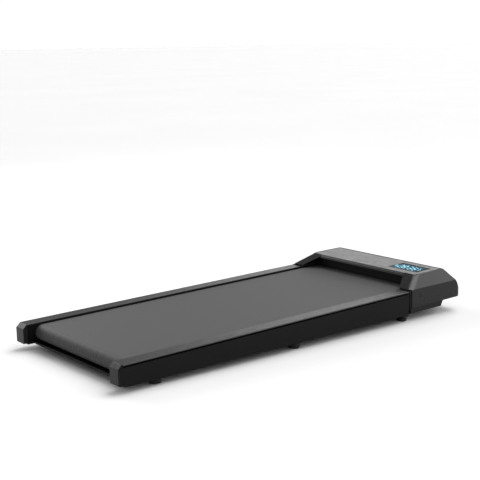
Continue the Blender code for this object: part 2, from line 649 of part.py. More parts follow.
def hood_shell():
    """One moulding: flat top, bevelled cheeks that run down to the rails, and a rounded nose."""
    shell = hood_solid("hood_shell", 0.0, 3, CHARCOAL_PLASTIC)
    round_edges(shell, 0.0012, 2, 18.0)

    cavity = hood_solid("hood_cavity", HOOD_WALL, 1)
    cheek_walls = prism("hood_cheek_walls", "Y", [throat_outline(HOOD_WALL, 0.0, -0.0030, 0.0390)],
                        0.97, HOOD_TOP_REAR, cutter=True)
    cut(cavity, cheek_walls)
    cut(shell, cavity)

    open_throat = prism("hood_throat", "Y", [throat_outline(0.0, 0.0035, -0.07, 0.0390)],
                        0.97, 1.0362, cutter=True)
    under_lip = prism("hood_under_lip", "Y", [throat_outline(0.0, 0.0, -0.07, 0.0240)],
                      1.0350, 1.0530, cutter=True)
    cut(shell, open_throat, under_lip)

    panel_seat = prism("hood_panel_seat", "X", [panel_side_view(GAP)], -0.1763, 0.1763,
                       cutter=True)
    panel_bed = box("hood_panel_bed", (-0.2133, HOOD_TOP_REAR + 0.0007, HOOD_TOP - 0.0026),
                    (0.2133, HOOD_TOP_FRONT - 0.0027, 0.05), cutter=True)
    display_hole = box("hood_display_hole", (0.0850, 1.0710, 0.0), (0.1950, 1.1350, 0.05),
                       cutter=True)
    cut(shell, panel_seat, panel_bed, display_hole)

    socket_pad = box("hood_socket_pad", (0.0600, SOCKET_FACE - 0.0025, -0.0472),
                     (0.1720, 1.2060, -0.0165), cutter=True)
    socket_pocket = box("hood_socket_pocket", (0.0640, SOCKET_FACE, -0.0465),
                        (0.1680, 1.2300, -0.0195), cutter=True)
    nose_clear = hood_solid("hood_nose_clear", 0.0, 0)
    boolean(socket_pad, "INTERSECT", nose_clear)
    inlet_hole = box("hood_inlet_hole", (0.1360, SOCKET_FACE - 0.01, -0.0438),
                     (0.1640, SOCKET_FACE + 0.01, -0.0232), cutter=True)
    switch_hole = box("hood_switch_hole", (0.1005, SOCKET_FACE - 0.01, -0.0440),
                      (0.1155, SOCKET_FACE + 0.01, -0.0230), cutter=True)
    breaker_hole = cylinder("hood_breaker_hole", "Y", (0.0790, SOCKET_FACE, -0.0335), 0.0058,
                            0.0200, cutter=True)
    join(shell, socket_pad)
    cut(shell, socket_pocket, inlet_hole, switch_hole, breaker_hole)

    for side, sign in SIDES:
        tongue_gap = box("hood_tongue_gap_" + side, (sign * 0.2350 - 0.0060, 0.9800, -0.0700),
                         (sign * 0.2350 + 0.0060, 0.9960, -0.0050), cutter=True)
        screw_pocket = cylinder("hood_screw_pocket_" + side, "X", (sign * 0.2508, HOOD_SCREW_Y, HOOD_SCREW_Z),
                                0.0046, 0.0040, cutter=True, sides=20)
        screw_hole = cylinder("hood_screw_hole_" + side, "X", (sign * 0.2450, HOOD_SCREW_Y, HOOD_SCREW_Z),
                              0.0022, 0.0200, cutter=True, sides=12)
        cut(shell, tongue_gap, screw_pocket, screw_hole)


def panel_side_view(clearance):
    """The top panel's section: a flat sheet whose rear edge rolls down over the throat."""
    thickness = 0.0023
    roll = 0.0090
    roll_centre = (HOOD_TOP_REAR, HOOD_TOP - roll)
    front = HOOD_TOP_FRONT - 0.0030 + clearance
    outer = arc(roll_centre, roll + clearance, 180.0, 90.0, 6)
    inner = arc(roll_centre, roll - thickness - clearance, 90.0, 180.0, 6)
    return (outer + [(front, HOOD_TOP + clearance), (front, HOOD_TOP - thickness - clearance)]
            + inner)


def top_panel():
    """The satin panel let into the hood's top, with a window for the display."""
    panel = prism("top_panel", "X", [panel_side_view(0.0)], -0.1760, 0.1760, GRAPHITE_PLASTIC)
    wings = box("top_panel_wings", (-0.2130, HOOD_TOP_REAR + 0.0010, HOOD_TOP - 0.0023),
                (0.2130, HOOD_TOP_FRONT - 0.0030, HOOD_TOP), cutter=True)
    window_cut = box("top_panel_window", (0.0837, 1.0697, 0.0), (0.1963, 1.1363, 0.05),
                     cutter=True)
    join(panel, wings)
    cut(panel, window_cut)
    box("display_window", (0.0840, 1.0700, HOOD_TOP - 0.0022), (0.1960, 1.1360, HOOD_TOP - 0.0002),
        SMOKED_ACRYLIC)
    box("display_board", (0.0860, 1.0730, 0.0210), (0.1940, 1.1300, 0.0226), CIRCUIT)
    box("led_module", (0.0870, 1.0740, 0.0226 + GAP), (0.1840, 1.1260, 0.0308), LED_DIGITS)


def belt_guard():
    """The black wall of the throat, which stops just above the moving belt."""
    section = [(1.0415, 0.0237), (1.0435, 0.0237), (1.0490, -0.0036), (1.0470, -0.0036)]
    guard = prism("belt_guard", "X", [section], -0.2052, 0.2052, BLACK_PLASTIC)
    throat = prism("belt_guard_throat", "Y", [throat_outline(-0.0008, -0.0008, -0.05, 0.0240)],
                   1.03, 1.06, cutter=True)
    boolean(guard, "INTERSECT", throat)


def belly_pan():
    """The black lower tray of the motor bay, with a sloping front."""
    wall = 0.0025
    half_width = 0.2464
    outer = [(0.9885, -0.0668), (1.1240, -0.0680), (1.1325, -0.0503), (1.2040, -0.0503)]
    inner = [(1.2040, -0.0478), (1.1310, -0.0478), (1.1223, -0.0655), (0.9885, -0.0643)]
    pan = prism("belly_pan", "X", [outer + inner], -half_width, half_width, BLACK_PLASTIC)
    for side, sign in SIDES:
        skirt = [(0.9915, -0.0667), (1.1240, -0.0679), (1.1325, -0.0502), (1.1320, -0.0478),
                 (0.9915, -0.0478)]
        edge = prism("belly_pan_skirt_" + side, "X", [skirt], sign * half_width,
                     sign * (half_width - wall), cutter=True)
        join(pan, edge)
    front_corners = prism("belly_pan_plan", "Z",
                          [[(-half_width, 0.97), (half_width, 0.97)]
                           + arc((0.2220, 1.1800), 0.0244, 0.0, 90.0, 5)
                           + arc((-0.2220, 1.1800), 0.0244, 90.0, 180.0, 5)],
                          -0.1, 0.0, cutter=True)
    boolean(pan, "INTERSECT", front_corners)


def hood_screws():
    for side, sign in SIDES:
        name = "hood_screw_" + side
        screw = cylinder(name, "X", (sign * 0.2493, HOOD_SCREW_Y, HOOD_SCREW_Z), 0.0036, 0.0010, ZINC_STEEL,
                         sides=16)
        shank = cylinder(name + "_shank", "X", (sign * 0.2435, HOOD_SCREW_Y, HOOD_SCREW_Z), 0.0018, 0.0120,
                         cutter=True, sides=12)
        slot = box(name + "_slot", (sign * 0.2500 - 0.0005, 1.0255, -0.0195),
                   (sign * 0.2500 + 0.0005, 1.0305, -0.0185), cutter=True)
        join(screw, shank)
        cut(screw, slot)


# --- Electrical pieces ----------------------------------------------------------------------
def controller():
    """The motor controller on its posts above the tray, with its taller components."""
    top = -0.0424
    board = box("controller_board", (0.0100, 1.0960, top - 0.0016), (0.1750, 1.1640, top), CIRCUIT)
    heat_sink = box("controller_heat_sink", (0.0200, 1.1380, top - 0.0006),
                    (0.0900, 1.1580, top + 0.0290), cutter=True)
    capacitor = cylinder("controller_capacitor", "Z", (0.1150, 1.1450, top + 0.0115), 0.0100,
                         0.0250, cutter=True)
    relay = box("controller_relay", (0.1400, 1.1250, top - 0.0006), (0.1600, 1.1400, top + 0.0160),
                cutter=True)
    join(board, heat_sink, capacitor, relay)
    for index, x in enumerate((0.0160, 0.1690)):
        post = cylinder("controller_post_%d" % index, "Z", (x, 1.1020, top - 0.0084), 0.0030,
                        0.0168, cutter=True, sides=12)
        join(board, post)


def power_inlet():
    """A chassis inlet with three flat pins in its socket."""
    face = SOCKET_FACE + GAP
    flange = box("power_inlet", (0.1345, face, -0.0455), (0.1655, face + 0.0020, -0.0215),
                 BLACK_PLASTIC)
    body = box("power_inlet_body", (0.1365, face - 0.0210, -0.0433),
               (0.1635, face + 0.0004, -0.0237), cutter=True)
    socket = box("power_inlet_socket", (0.1385, face - 0.0170, -0.0413),
                 (0.1615, face + 0.0100, -0.0257), cutter=True)
    join(flange, body)
    cut(flange, socket)
    for index, (x, z) in enumerate(((0.1430, -0.0325), (0.1500, -0.0295), (0.1570, -0.0325))):
        pin = box("power_inlet_pin_%d" % index, (x - 0.0010, face - 0.0180, z - 0.0020),
                  (x + 0.0010, face - 0.0030, z + 0.0020), cutter=True)
        join(flange, pin)


def power_switch():
    """A rocker in its bezel; it tips about a cross pin along X."""
    face = SOCKET_FACE + GAP
    bezel = box("switch_bezel", (0.0985, face, -0.0460), (0.1175, face + 0.0014, -0.0210),
                BLACK_PLASTIC)
    body = box("switch_bezel_body", (0.1010, face - 0.0190, -0.0435),
               (0.1150, face + 0.0004, -0.0235), cutter=True)
    well = box("switch_bezel_well", (0.1022, face - 0.0170, -0.0426),
               (0.1138, face + 0.0100, -0.0244), cutter=True)
    join(bezel, body)
    cut(bezel, well)

    pivot = (face - 0.0034, -0.0335)
    reach, dish = 0.0087, 0.0030
    lean = -ROCKER_TILT
    outline = (arc(pivot, dish, lean, lean + 1.0, 1)[:1]
               + arc(pivot, reach, 62.0 + lean, 118.0 + lean, 5)
               + arc(pivot, reach, 242.0 + lean, 298.0 + lean, 5))
    prism("power_rocker", "X", [outline], 0.1026, 0.1134, BLACK_PLASTIC, origin=pivot)


def breaker():
    """The overload breaker, whose button stands out when it has tripped."""
    centre = (0.0790, SOCKET_FACE + GAP, -0.0335)
    turned("breaker_body", "Y", centre,
           [(0.0036, -0.0014), (0.0036, 0.0200), (0.0070, 0.0200), (0.0070, 0.0120),
            (0.0055, 0.0120), (0.0055, 0.0), (0.0080, 0.0), (0.0080, -0.0014)],
           BLACK_PLASTIC, ring=True, steps=24)
    turned("breaker_button", "Y", centre,
           [(0.0, 0.0170), (0.0032, 0.0170), (0.0032, -0.0026), (0.0026, -0.0032),
            (0.0, -0.0032)], BLACK_PLASTIC, steps=20)


def cables():
    cable("motor_cable", [(-0.0880, 1.0995, -0.0230), (-0.0860, 1.0975, -0.0310),
                          (-0.0600, 1.0960, -0.0390), (-0.0250, 1.1040, -0.0430),
                          (0.0096, 1.1100, -0.0432)], 0.0022, BLACK_PLASTIC)
    cable("display_cable", [(0.1300, 1.1000, 0.0207), (0.1295, 1.1010, 0.0120),
                            (0.1280, 1.1040, -0.0040), (0.1270, 1.1060, -0.0240),
                            (0.1270, 1.1060, -0.0420)], 0.0018, BLACK_PLASTIC)


# --- Feet and transport wheels --------------------------------------------------------------
def foot(name, y, profile_for, block=None):
    """A rubber foot that stands on the floor and reaches up to the beam's lower edge."""
    for side, sign in SIDES:
        along, height = beam_edge_above_floor(y)
        top = height - 2.0 * GAP
        pad = turned("%s_%s" % (name, side), "Z", (sign * FOOT_X, along, 0.0), profile_for(top),
                     RUBBER, parent=None, steps=24)
        if block:
            half_x, half_y, thickness = block
            upper = box("%s_block_%s" % (name, side),
                        (sign * FOOT_X - half_x, along - half_y, top - thickness),
                        (sign * FOOT_X + half_x, along + half_y, top), parent=None, cutter=True)
            join(pad, upper)


def feet():
    foot("rear_foot", REAR_FOOT_Y,
         lambda top: [(0.0, top), (0.0175, top), (0.0172, top - 0.0040), (0.0150, 0.0020),
                      (0.0138, 0.0), (0.0, 0.0)])
    foot("middle_foot", MIDDLE_FOOT_Y,
         lambda top: [(0.0, top), (0.0165, top), (0.0160, top - 0.0050), (0.0145, 0.0020),
                      (0.0132, 0.0), (0.0, 0.0)],
         (0.0150, 0.0170, 0.0050))
    foot("front_foot", FRONT_FOOT_Y,
         lambda top: [(0.0, top), (0.0075, top), (0.0080, 0.0085), (0.0134, 0.0075),
                      (0.0146, 0.0040), (0.0136, 0.0), (0.0, 0.0)],
         (0.0140, 0.0110, 0.0090))


def transport_wheels():
    half_fork = 0.0120
    for side, sign in SIDES:
        x = sign * WHEEL_X
        name = "wheel_fork_" + side
        fork = box(name, (x - half_fork, WHEEL_Y - 0.0110, -0.0530),
                   (x + half_fork, WHEEL_Y + 0.0110, -0.0506), ZINC_STEEL)
        for label, direction in (("outer", 1.0), ("inner", -1.0)):
            cheek_x = x + direction * (half_fork - 0.0011)
            arm = prism("%s_%s_arm" % (name, label), "X",
                        [[(WHEEL_Y - 0.0110, -0.0510), (WHEEL_Y - 0.0055, WHEEL_Z - 0.0050),
                          (WHEEL_Y + 0.0055, WHEEL_Z - 0.0050), (WHEEL_Y + 0.0110, -0.0510)]],
                        cheek_x - 0.0011, cheek_x + 0.0011, cutter=True)
            join(fork, arm)
        pin = cylinder(name + "_pin", "X", (x, WHEEL_Y, WHEEL_Z), 0.0030, 2.0 * half_fork - 0.001,
                       cutter=True, sides=16)
        join(fork, pin)
        turned("transport_wheel_" + side, "X", (x, WHEEL_Y, WHEEL_Z),
               [(WHEEL_RADIUS - 0.0015, 0.0080), (WHEEL_RADIUS, 0.0060), (WHEEL_RADIUS, -0.0060),
                (WHEEL_RADIUS - 0.0015, -0.0080), (0.0033, -0.0080), (0.0033, 0.0080)],
               RUBBER, ring=True, steps=32)


# --- Assembly -------------------------------------------------------------------------------
for side_name, side_sign in SIDES:
    side_beam(side_name, side_sign)
    rail_cap(side_name, side_sign)
    end_cap(side_name, side_sign)
    tension_bolt(side_name, side_sign)
cross_members()
deck_board()
motor_tray()
walking_belt()
rollers()
drive()
hood_shell()
top_panel()
belt_guard()
belly_pan()
hood_screws()
controller()
power_inlet()
power_switch()
breaker()
cables()
feet()
transport_wheels()
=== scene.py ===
"""Looks of the under-desk walking treadmill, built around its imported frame.

Visible pieces are drawn in the deck frame: its origin stands at the rear end of the rails on
the plane of their tops, +X is the walker's right, +Y runs to the motor hood, and +Z is square
to the deck. deck_to_row moves a finished mesh from there into the row frame. Metres throughout.
"""
import json
import math

import bmesh
import bpy
from mathutils import Matrix, Vector


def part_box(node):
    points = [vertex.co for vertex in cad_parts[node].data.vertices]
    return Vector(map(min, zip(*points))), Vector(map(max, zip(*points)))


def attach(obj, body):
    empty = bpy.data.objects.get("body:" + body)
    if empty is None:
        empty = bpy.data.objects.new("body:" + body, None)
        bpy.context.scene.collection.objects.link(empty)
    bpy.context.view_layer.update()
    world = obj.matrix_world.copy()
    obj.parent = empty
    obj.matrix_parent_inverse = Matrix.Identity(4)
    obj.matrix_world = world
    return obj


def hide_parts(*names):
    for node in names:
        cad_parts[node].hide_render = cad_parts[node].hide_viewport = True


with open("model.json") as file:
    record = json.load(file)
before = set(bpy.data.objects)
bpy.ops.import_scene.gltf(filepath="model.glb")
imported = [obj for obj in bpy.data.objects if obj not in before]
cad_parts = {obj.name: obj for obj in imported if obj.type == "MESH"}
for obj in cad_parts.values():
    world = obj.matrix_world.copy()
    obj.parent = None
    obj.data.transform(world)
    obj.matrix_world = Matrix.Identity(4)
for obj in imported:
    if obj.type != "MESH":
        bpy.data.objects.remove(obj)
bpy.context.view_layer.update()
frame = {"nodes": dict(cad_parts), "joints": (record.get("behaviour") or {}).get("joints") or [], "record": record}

# --- Driving dimensions, the same as the frame's -----------------------------------------------
HALF_WIDTH = 0.2500
CLEAR_X = 0.2600
GAP = 0.0003
RAIL_WIDTH = 0.0407
TREAD_END = 0.9805
SHOULDER_Y = (0.9840, 0.9950)
CHEEK_EDGE = 0.9935
RAIL_CHAMFER = 0.0105

BELT_TOP = -0.0050
BELT_HALF_WIDTH = 0.2040
BELT_THICKNESS = 0.0018
ROLLER_RADIUS = 0.0190
ROLLER_WALL = 0.0020
ROLLER_HALF_LENGTH = 0.2055
REAR_ROLLER_Y = 0.0540
FRONT_ROLLER_Y = 1.0600
BELT_INNER_RADIUS = ROLLER_RADIUS + GAP
ROLLER_Z = BELT_TOP - BELT_THICKNESS - BELT_INNER_RADIUS

HOOD_REAR = 0.9880
HOOD_TOP = 0.0335
HOOD_TOP_REAR = 1.0450
HOOD_TOP_FRONT = 1.1640
HOOD_FRONT = 1.2100
HOOD_CORNER = 0.0200
HOOD_BOTTOM = -0.0506
HOOD_TOP_HALF = 0.2185
HOOD_CREASE = 0.0030
HOOD_FILLET = 0.0300
HOOD_WALL = 0.0030
SOCKET_FACE = 1.1900
HOOD_SCREW_Y = 1.0280
HOOD_SCREW_Z = -0.0190

WINDOW_X = (0.0840, 0.1960)
WINDOW_Y = (1.0700, 1.1360)
PANEL_HALF = 0.2118
PANEL_FRONT = HOOD_TOP_FRONT - 0.0085
PANEL_SEAM = 0.0045

WHEEL_X = 0.1700
WHEEL_Y = 1.1610
WHEEL_Z = -0.0713
WHEEL_RADIUS = 0.0180

SIDES = (("right", 1.0), ("left", -1.0))
MAIN_BODY = "frame"

# --- The deck frame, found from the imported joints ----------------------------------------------
joints = {joint["name"]: joint for joint in frame["joints"]}
deck_along = Vector(joints["breaker_button_slide"]["axis"])
deck_tilt = Matrix.Rotation(math.atan2(deck_along.z, deck_along.y), 4, "X")
front_roller_middle = Vector(joints["front_roller_spin"]["pos_m"])
deck_origin = front_roller_middle - deck_tilt @ Vector((0.0, FRONT_ROLLER_Y, ROLLER_Z))
deck_to_row = Matrix.Translation(deck_origin) @ deck_tilt


# --- Materials ---------------------------------------------------------------------------------
class Surface:
    """A Principled material, with short calls for the textures that feed it."""

    def __init__(self, name, roughness, metallic=0.0, specular=0.5, coat=0.0):
        self.material = bpy.data.materials.new(name)
        self.material.use_nodes = True
        self.tree = self.material.node_tree
        self.shader = self.tree.nodes["Principled BSDF"]
        self.shader.inputs["Roughness"].default_value = roughness
        self.shader.inputs["Metallic"].default_value = metallic
        self.shader.inputs["Specular IOR Level"].default_value = specular
        self.shader.inputs["Coat Weight"].default_value = coat
        self.place = self.tree.nodes.new("ShaderNodeTexCoord").outputs["Object"]
        self.normal = None

    def link(self, source, target):
        self.tree.links.new(source, target)

    def stretched(self, scale):
        mapping = self.tree.nodes.new("ShaderNodeMapping")
        mapping.inputs["Scale"].default_value = scale
        self.link(self.place, mapping.inputs["Vector"])
        return mapping.outputs["Vector"]

    def noise(self, scale, detail=3.0, roughness=0.55, stretch=None):
        node = self.tree.nodes.new("ShaderNodeTexNoise")
        node.inputs["Scale"].default_value = scale
        node.inputs["Detail"].default_value = detail
        node.inputs["Roughness"].default_value = roughness
        self.link(self.stretched(stretch) if stretch else self.place, node.inputs["Vector"])
        return node.outputs["Fac"]

    def cells(self, scale, stretch=None):
        node = self.tree.nodes.new("ShaderNodeTexVoronoi")
        node.inputs["Scale"].default_value = scale
        self.link(self.stretched(stretch) if stretch else self.place, node.inputs["Vector"])
        return node.outputs["Distance"]

    def wave(self, scale, direction="X", distortion=0.0):
        node = self.tree.nodes.new("ShaderNodeTexWave")
        node.bands_direction = direction
        node.inputs["Scale"].default_value = scale
        node.inputs["Distortion"].default_value = distortion
        self.link(self.place, node.inputs["Vector"])
        return node.outputs["Fac"]

    def span(self, factor, low, high, source=(0.3, 0.7)):
        node = self.tree.nodes.new("ShaderNodeMapRange")
        node.inputs["From Min"].default_value = source[0]
        node.inputs["From Max"].default_value = source[1]
        node.inputs["To Min"].default_value = low
        node.inputs["To Max"].default_value = high
        self.link(factor, node.inputs["Value"])
        return node.outputs["Result"]

    def colour(self, factor, *stops):
        """Base colour from (position, (r, g, b)) stops along a factor."""
        ramp = self.tree.nodes.new("ShaderNodeValToRGB")
        while len(ramp.color_ramp.elements) < len(stops):
            ramp.color_ramp.elements.new(0.5)
        for element, (position, tone) in zip(ramp.color_ramp.elements, stops):
            element.position = position
            element.color = (*tone, 1.0)
        self.link(factor, ramp.inputs["Fac"])
        self.link(ramp.outputs["Color"], self.shader.inputs["Base Color"])
        return ramp.outputs["Color"]

    def roughness(self, factor, low, high):
        self.link(self.span(factor, low, high), self.shader.inputs["Roughness"])

    def bump(self, height, distance, strength=1.0):
        node = self.tree.nodes.new("ShaderNodeBump")
        node.inputs["Strength"].default_value = strength
        node.inputs["Distance"].default_value = distance
        self.link(height, node.inputs["Height"])
        if self.normal:
            self.link(self.normal, node.inputs["Normal"])
        self.normal = node.outputs["Normal"]
        self.link(self.normal, self.shader.inputs["Normal"])


def grey(level, tint=0.0):
    """A neutral linear grey, a little cooler for a positive tint."""
    return (level * (1.0 - tint), level, level * (1.0 + tint))


def powder_coat():
    """Black paint with a fine orange peel and a few rubbed patches."""
    paint = Surface("black_powder_coat", 0.42, specular=0.075)
    patches = paint.noise(9.0, 4.0, stretch=(1.0, 0.35, 1.0))
    paint.colour(patches, (0.30, grey(0.0030)), (0.72, grey(0.0048, 0.02)))
    paint.roughness(paint.noise(24.0, 5.0), 0.36, 0.50)
    paint.bump(paint.noise(900.0, 2.0), 0.00004)
    paint.bump(paint.noise(210.0, 2.0), 0.00003)
    return paint.material


def moulded_plastic(name, level, roughness, specular, grain, tint=0.01):
    """Moulded plastic with an etched grain, faint flow marks and uneven gloss."""
    plastic = Surface(name, roughness, specular=specular)
    flow = plastic.noise(5.0, 4.0, stretch=(0.6, 1.0, 1.0))
    plastic.colour(flow, (0.28, grey(level * 0.93, tint)), (0.74, grey(level * 1.07, tint)))
    plastic.roughness(plastic.noise(60.0, 6.0), roughness - 0.05, roughness + 0.05)
    plastic.bump(plastic.cells(grain), 0.00004, 0.8)
    plastic.bump(plastic.noise(grain * 2.2, 2.0), 0.00002)
    return plastic.material


def belting():
    """Walking belt: a matte top ply with a fine lizard grain and slight wear along the middle."""
    belt = Surface("walking_belt_pvc", 0.62, specular=0.30)
    wear = belt.noise(3.2, 5.0, stretch=(1.0, 0.25, 1.0))
    belt.colour(wear, (0.25, grey(0.0245)), (0.75, grey(0.0262)))
    belt.roughness(belt.noise(400.0, 4.0), 0.60, 0.68)
    belt.bump(belt.cells(640.0, stretch=(1.0, 0.72, 1.0)), 0.00012, 0.7)
    belt.bump(belt.noise(1800.0, 2.0), 0.00003)
    return belt.material


def rubber():
    """Moulded rubber, slightly dusty."""
    surface = Surface("black_rubber", 0.78, specular=0.30)
    dust = surface.noise(120.0, 5.0)
    surface.colour(dust, (0.35, grey(0.006)), (0.80, grey(0.013)))
    surface.roughness(dust, 0.70, 0.88)
    surface.bump(surface.noise(700.0, 3.0), 0.00005)
    return surface.material


def turned_steel():
    """Bare steel with the fine rings that a lathe leaves."""
    steel = Surface("turned_steel", 0.30, metallic=1.0)
    steel.colour(steel.noise(30.0, 4.0), (0.30, grey(0.46)), (0.75, grey(0.60, 0.01)))
    steel.roughness(steel.noise(18.0, 5.0), 0.24, 0.38)
    steel.bump(steel.wave(900.0, "X", 0.6), 0.00001, 0.6)
    return steel.material


def zinc_plate():
    """Bright zinc with the cloudy crystals of the plating bath."""
    zinc = Surface("zinc_plated_steel", 0.34, metallic=1.0)
    zinc.colour(zinc.cells(260.0), (0.10, grey(0.50, 0.015)), (0.60, grey(0.66, 0.02)))
    zinc.roughness(zinc.noise(90.0, 4.0), 0.28, 0.42)
    zinc.bump(zinc.noise(500.0, 3.0), 0.00001)
    return zinc.material


def cast_aluminium():
    casting = Surface("cast_aluminium", 0.42, metallic=1.0)
    casting.colour(casting.noise(70.0, 4.0), (0.30, grey(0.50)), (0.75, grey(0.62, 0.01)))
    casting.roughness(casting.noise(120.0, 4.0), 0.36, 0.50)
    casting.bump(casting.wave(1200.0, "X", 0.4), 0.00001, 0.5)
    return casting.material


def fibreboard():
    """Waxed board: short dark brown fibres pressed flat."""
    board = Surface("deck_fibreboard", 0.55)
    fibres = board.noise(340.0, 6.0, stretch=(1.0, 0.15, 1.0))
    board.colour(fibres, (0.25, (0.016, 0.011, 0.008)), (0.75, (0.040, 0.028, 0.019)))
    board.roughness(board.noise(30.0), 0.48, 0.62)
    board.bump(fibres, 0.00006)
    return board.material


def circuit_board():
    """Green solder mask over copper tracks."""
    board = Surface("circuit_board_green", 0.36, coat=0.3)
    tracks = board.wave(160.0, "X", 9.0)
    board.colour(tracks, (0.42, (0.010, 0.070, 0.030)), (0.52, (0.020, 0.130, 0.055)))
    board.bump(tracks, 0.00005)
    return board.material


def smoked_acrylic():
    """The display window: nearly black, with faint dust and wipe marks."""
    window = Surface("smoked_acrylic", 0.48, specular=0.02)
    window.colour(window.noise(40.0, 3.0), (0.30, grey(0.006, 0.10)), (0.75, grey(0.010, 0.10)))
    window.roughness(window.noise(260.0, 5.0, stretch=(1.0, 0.2, 1.0)), 0.42, 0.56)
    return window.material


def lit_segments():
    """Pale cyan segments, a little uneven in brightness."""
    lit = Surface("led_digits", 0.40, specular=0.2)
    colour = lit.colour(lit.noise(90.0, 2.0), (0.30, (0.200, 0.560, 0.680)),
                        (0.75, (0.420, 0.860, 0.960)))
    lit.link(colour, lit.shader.inputs["Emission Color"])
    lit.shader.inputs["Emission Strength"].default_value = 0.62
    return lit.material


def painted_segment_glow():
    """Painted glow: an emissive sheet that paints the dim blue light spreading round the lit segments."""
    glow = Surface("display_painted_glow", 0.55, specular=0.02)
    colour = glow.colour(glow.noise(120.0, 2.0), (0.30, (0.008, 0.026, 0.042)),
                         (0.75, (0.015, 0.045, 0.066)))
    glow.link(colour, glow.shader.inputs["Emission Color"])
    glow.shader.inputs["Emission Strength"].default_value = 0.8
    return glow.material


def blackened_steel():
    """A screw head under a thin black oxide, patchy in tone."""
    oxide = Surface("blackened_steel", 0.45, metallic=1.0)
    oxide.colour(oxide.noise(800.0, 4.0), (0.35, grey(0.020)), (0.80, grey(0.060)))
    oxide.roughness(oxide.noise(300.0), 0.38, 0.52)
    return oxide.material


FINISHES = {
    "black_painted_steel": powder_coat(),
    "turned_steel": turned_steel(),
    "zinc_plated_steel": zinc_plate(),
    "cast_aluminium": cast_aluminium(),
    "charcoal_plastic": moulded_plastic("charcoal_plastic", 0.0105, 0.31, 0.16, 1300.0),
    "graphite_satin_plastic": moulded_plastic("graphite_satin_plastic", 0.013, 0.34, 0.30, 2000.0),
    "black_plastic": moulded_plastic("black_plastic", 0.006, 0.52, 0.14, 1100.0),
    "walking_belt_pvc": belting(),
    "black_rubber": rubber(),
    "deck_fibreboard": fibreboard(),
    "smoked_acrylic": smoked_acrylic(),
    "led_digits": lit_segments(),
    "circuit_board_green": circuit_board(),
}
node_slots = {entry["node"]: entry["material_slot"] for entry in frame["record"]["subparts"]}
node_bodies = {node: body for body, nodes in frame["record"]["behaviour"]["bodies"].items()
               for node in nodes}


# --- Mesh helpers ------------------------------------------------------------------------------
def mesh_object(name, bm):
    """A linked object that holds a finished bmesh."""
    mesh = bpy.data.meshes.new(name)
    bm.to_mesh(mesh)
    bm.free()
    obj = bpy.data.objects.new(name, mesh)
    bpy.context.scene.collection.objects.link(obj)
    return obj


def box(name, low, high):
    low, high = Vector(low), Vector(high)
    bm = bmesh.new()
    place = Matrix.Translation((low + high) / 2.0) @ Matrix.Diagonal((*(high - low), 1.0))
    bmesh.ops.create_cube(bm, size=1.0, matrix=place)
    return mesh_object(name, bm)


def side_box(name, sign, x_range, y_range, z_range):
    """A box given for the right side, and mirrored for the left by the sign."""
    low_x, high_x = sorted(sign * x for x in x_range)
    return box(name, (low_x, y_range[0], z_range[0]), (high_x, y_range[1], z_range[1]))


AXIS_FRAMES = {
    "X": Matrix(((0.0, 0.0, 1.0, 0.0), (1.0, 0.0, 0.0, 0.0), (0.0, 1.0, 0.0, 0.0),
                 (0.0, 0.0, 0.0, 1.0))),
    "Y": Matrix(((1.0, 0.0, 0.0, 0.0), (0.0, 0.0, -1.0, 0.0), (0.0, 1.0, 0.0, 0.0),
                 (0.0, 0.0, 0.0, 1.0))),
    "Z": Matrix.Identity(4),
}


def prism(name, axis, outline, start, end):
    """One closed outline pushed along an axis: (y, z) along X, (x, z) along Y, (x, y) along Z."""
    place = {
        "X": lambda u, v, w: (w, u, v),
        "Y": lambda u, v, w: (u, w, v),
        "Z": lambda u, v, w: (u, v, w),
    }[axis]
    bm = bmesh.new()
    rings = [[bm.verts.new(place(u, v, w)) for u, v in outline] for w in (start, end)]
    bm.faces.new(rings[0])
    bm.faces.new(reversed(rings[1]))
    count = len(outline)
    for index in range(count):
        after = (index + 1) % count
        bm.faces.new((rings[0][index], rings[1][index], rings[1][after], rings[0][after]))
    bmesh.ops.recalc_face_normals(bm, faces=bm.faces)
    return mesh_object(name, bm)


def turned(name, axis, centre, profile, steps=48, ring=False):
    """A profile of (radius, height) points turned about an axis through a centre."""
    bm = bmesh.new()
    points = [bm.verts.new((radius, 0.0, height)) for radius, height in profile]
    pairs = list(zip(points, points[1:])) + ([(points[-1], points[0])] if ring else [])
    edges = [bm.edges.new(pair) for pair in pairs]
    bmesh.ops.spin(bm, geom=points + edges, cent=(0.0, 0.0, 0.0), axis=(0.0, 0.0, 1.0),
                   angle=2.0 * math.pi, steps=steps, use_merge=True, use_duplicate=False)
    bmesh.ops.remove_doubles(bm, verts=bm.verts, dist=0.000002)
    bmesh.ops.recalc_face_normals(bm, faces=bm.faces)
    bm.transform(Matrix.Translation(centre) @ AXIS_FRAMES[axis])
    return mesh_object(name, bm)


def plane_cut(bm, point, normal):
    """Cut away what lies outside a plane from a convex solid, and close the cut."""
    geometry = bm.verts[:] + bm.edges[:] + bm.faces[:]
    cut_result = bmesh.ops.bisect_plane(bm, geom=geometry, dist=0.0000002, plane_co=point,
                                        plane_no=normal, clear_outer=True)
    loop = [e for e in cut_result["geom_cut"] if isinstance(e, bmesh.types.BMEdge)]
    open_loop = [e for e in loop if e.is_boundary]
    if len(open_loop) > 2:
        bmesh.ops.contextual_create(bm, geom=open_loop)


def boolean(target, operation, other):
    modifier = target.modifiers.new(operation.title(), "BOOLEAN")
    modifier.operation = operation
    modifier.solver = "EXACT"
    modifier.object = other
    bake(target)
    bpy.data.objects.remove(other, do_unlink=True)


def cut(target, *others):
    for other in others:
        boolean(target, "DIFFERENCE", other)


def join(target, *others):
    for other in others:
        boolean(target, "UNION", other)


def bake(target):
    """Apply an object's modifiers to its mesh."""
    bpy.context.view_layer.update()
    evaluated = target.evaluated_get(bpy.context.evaluated_depsgraph_get())
    target.data = bpy.data.meshes.new_from_object(evaluated)
    target.modifiers.clear()


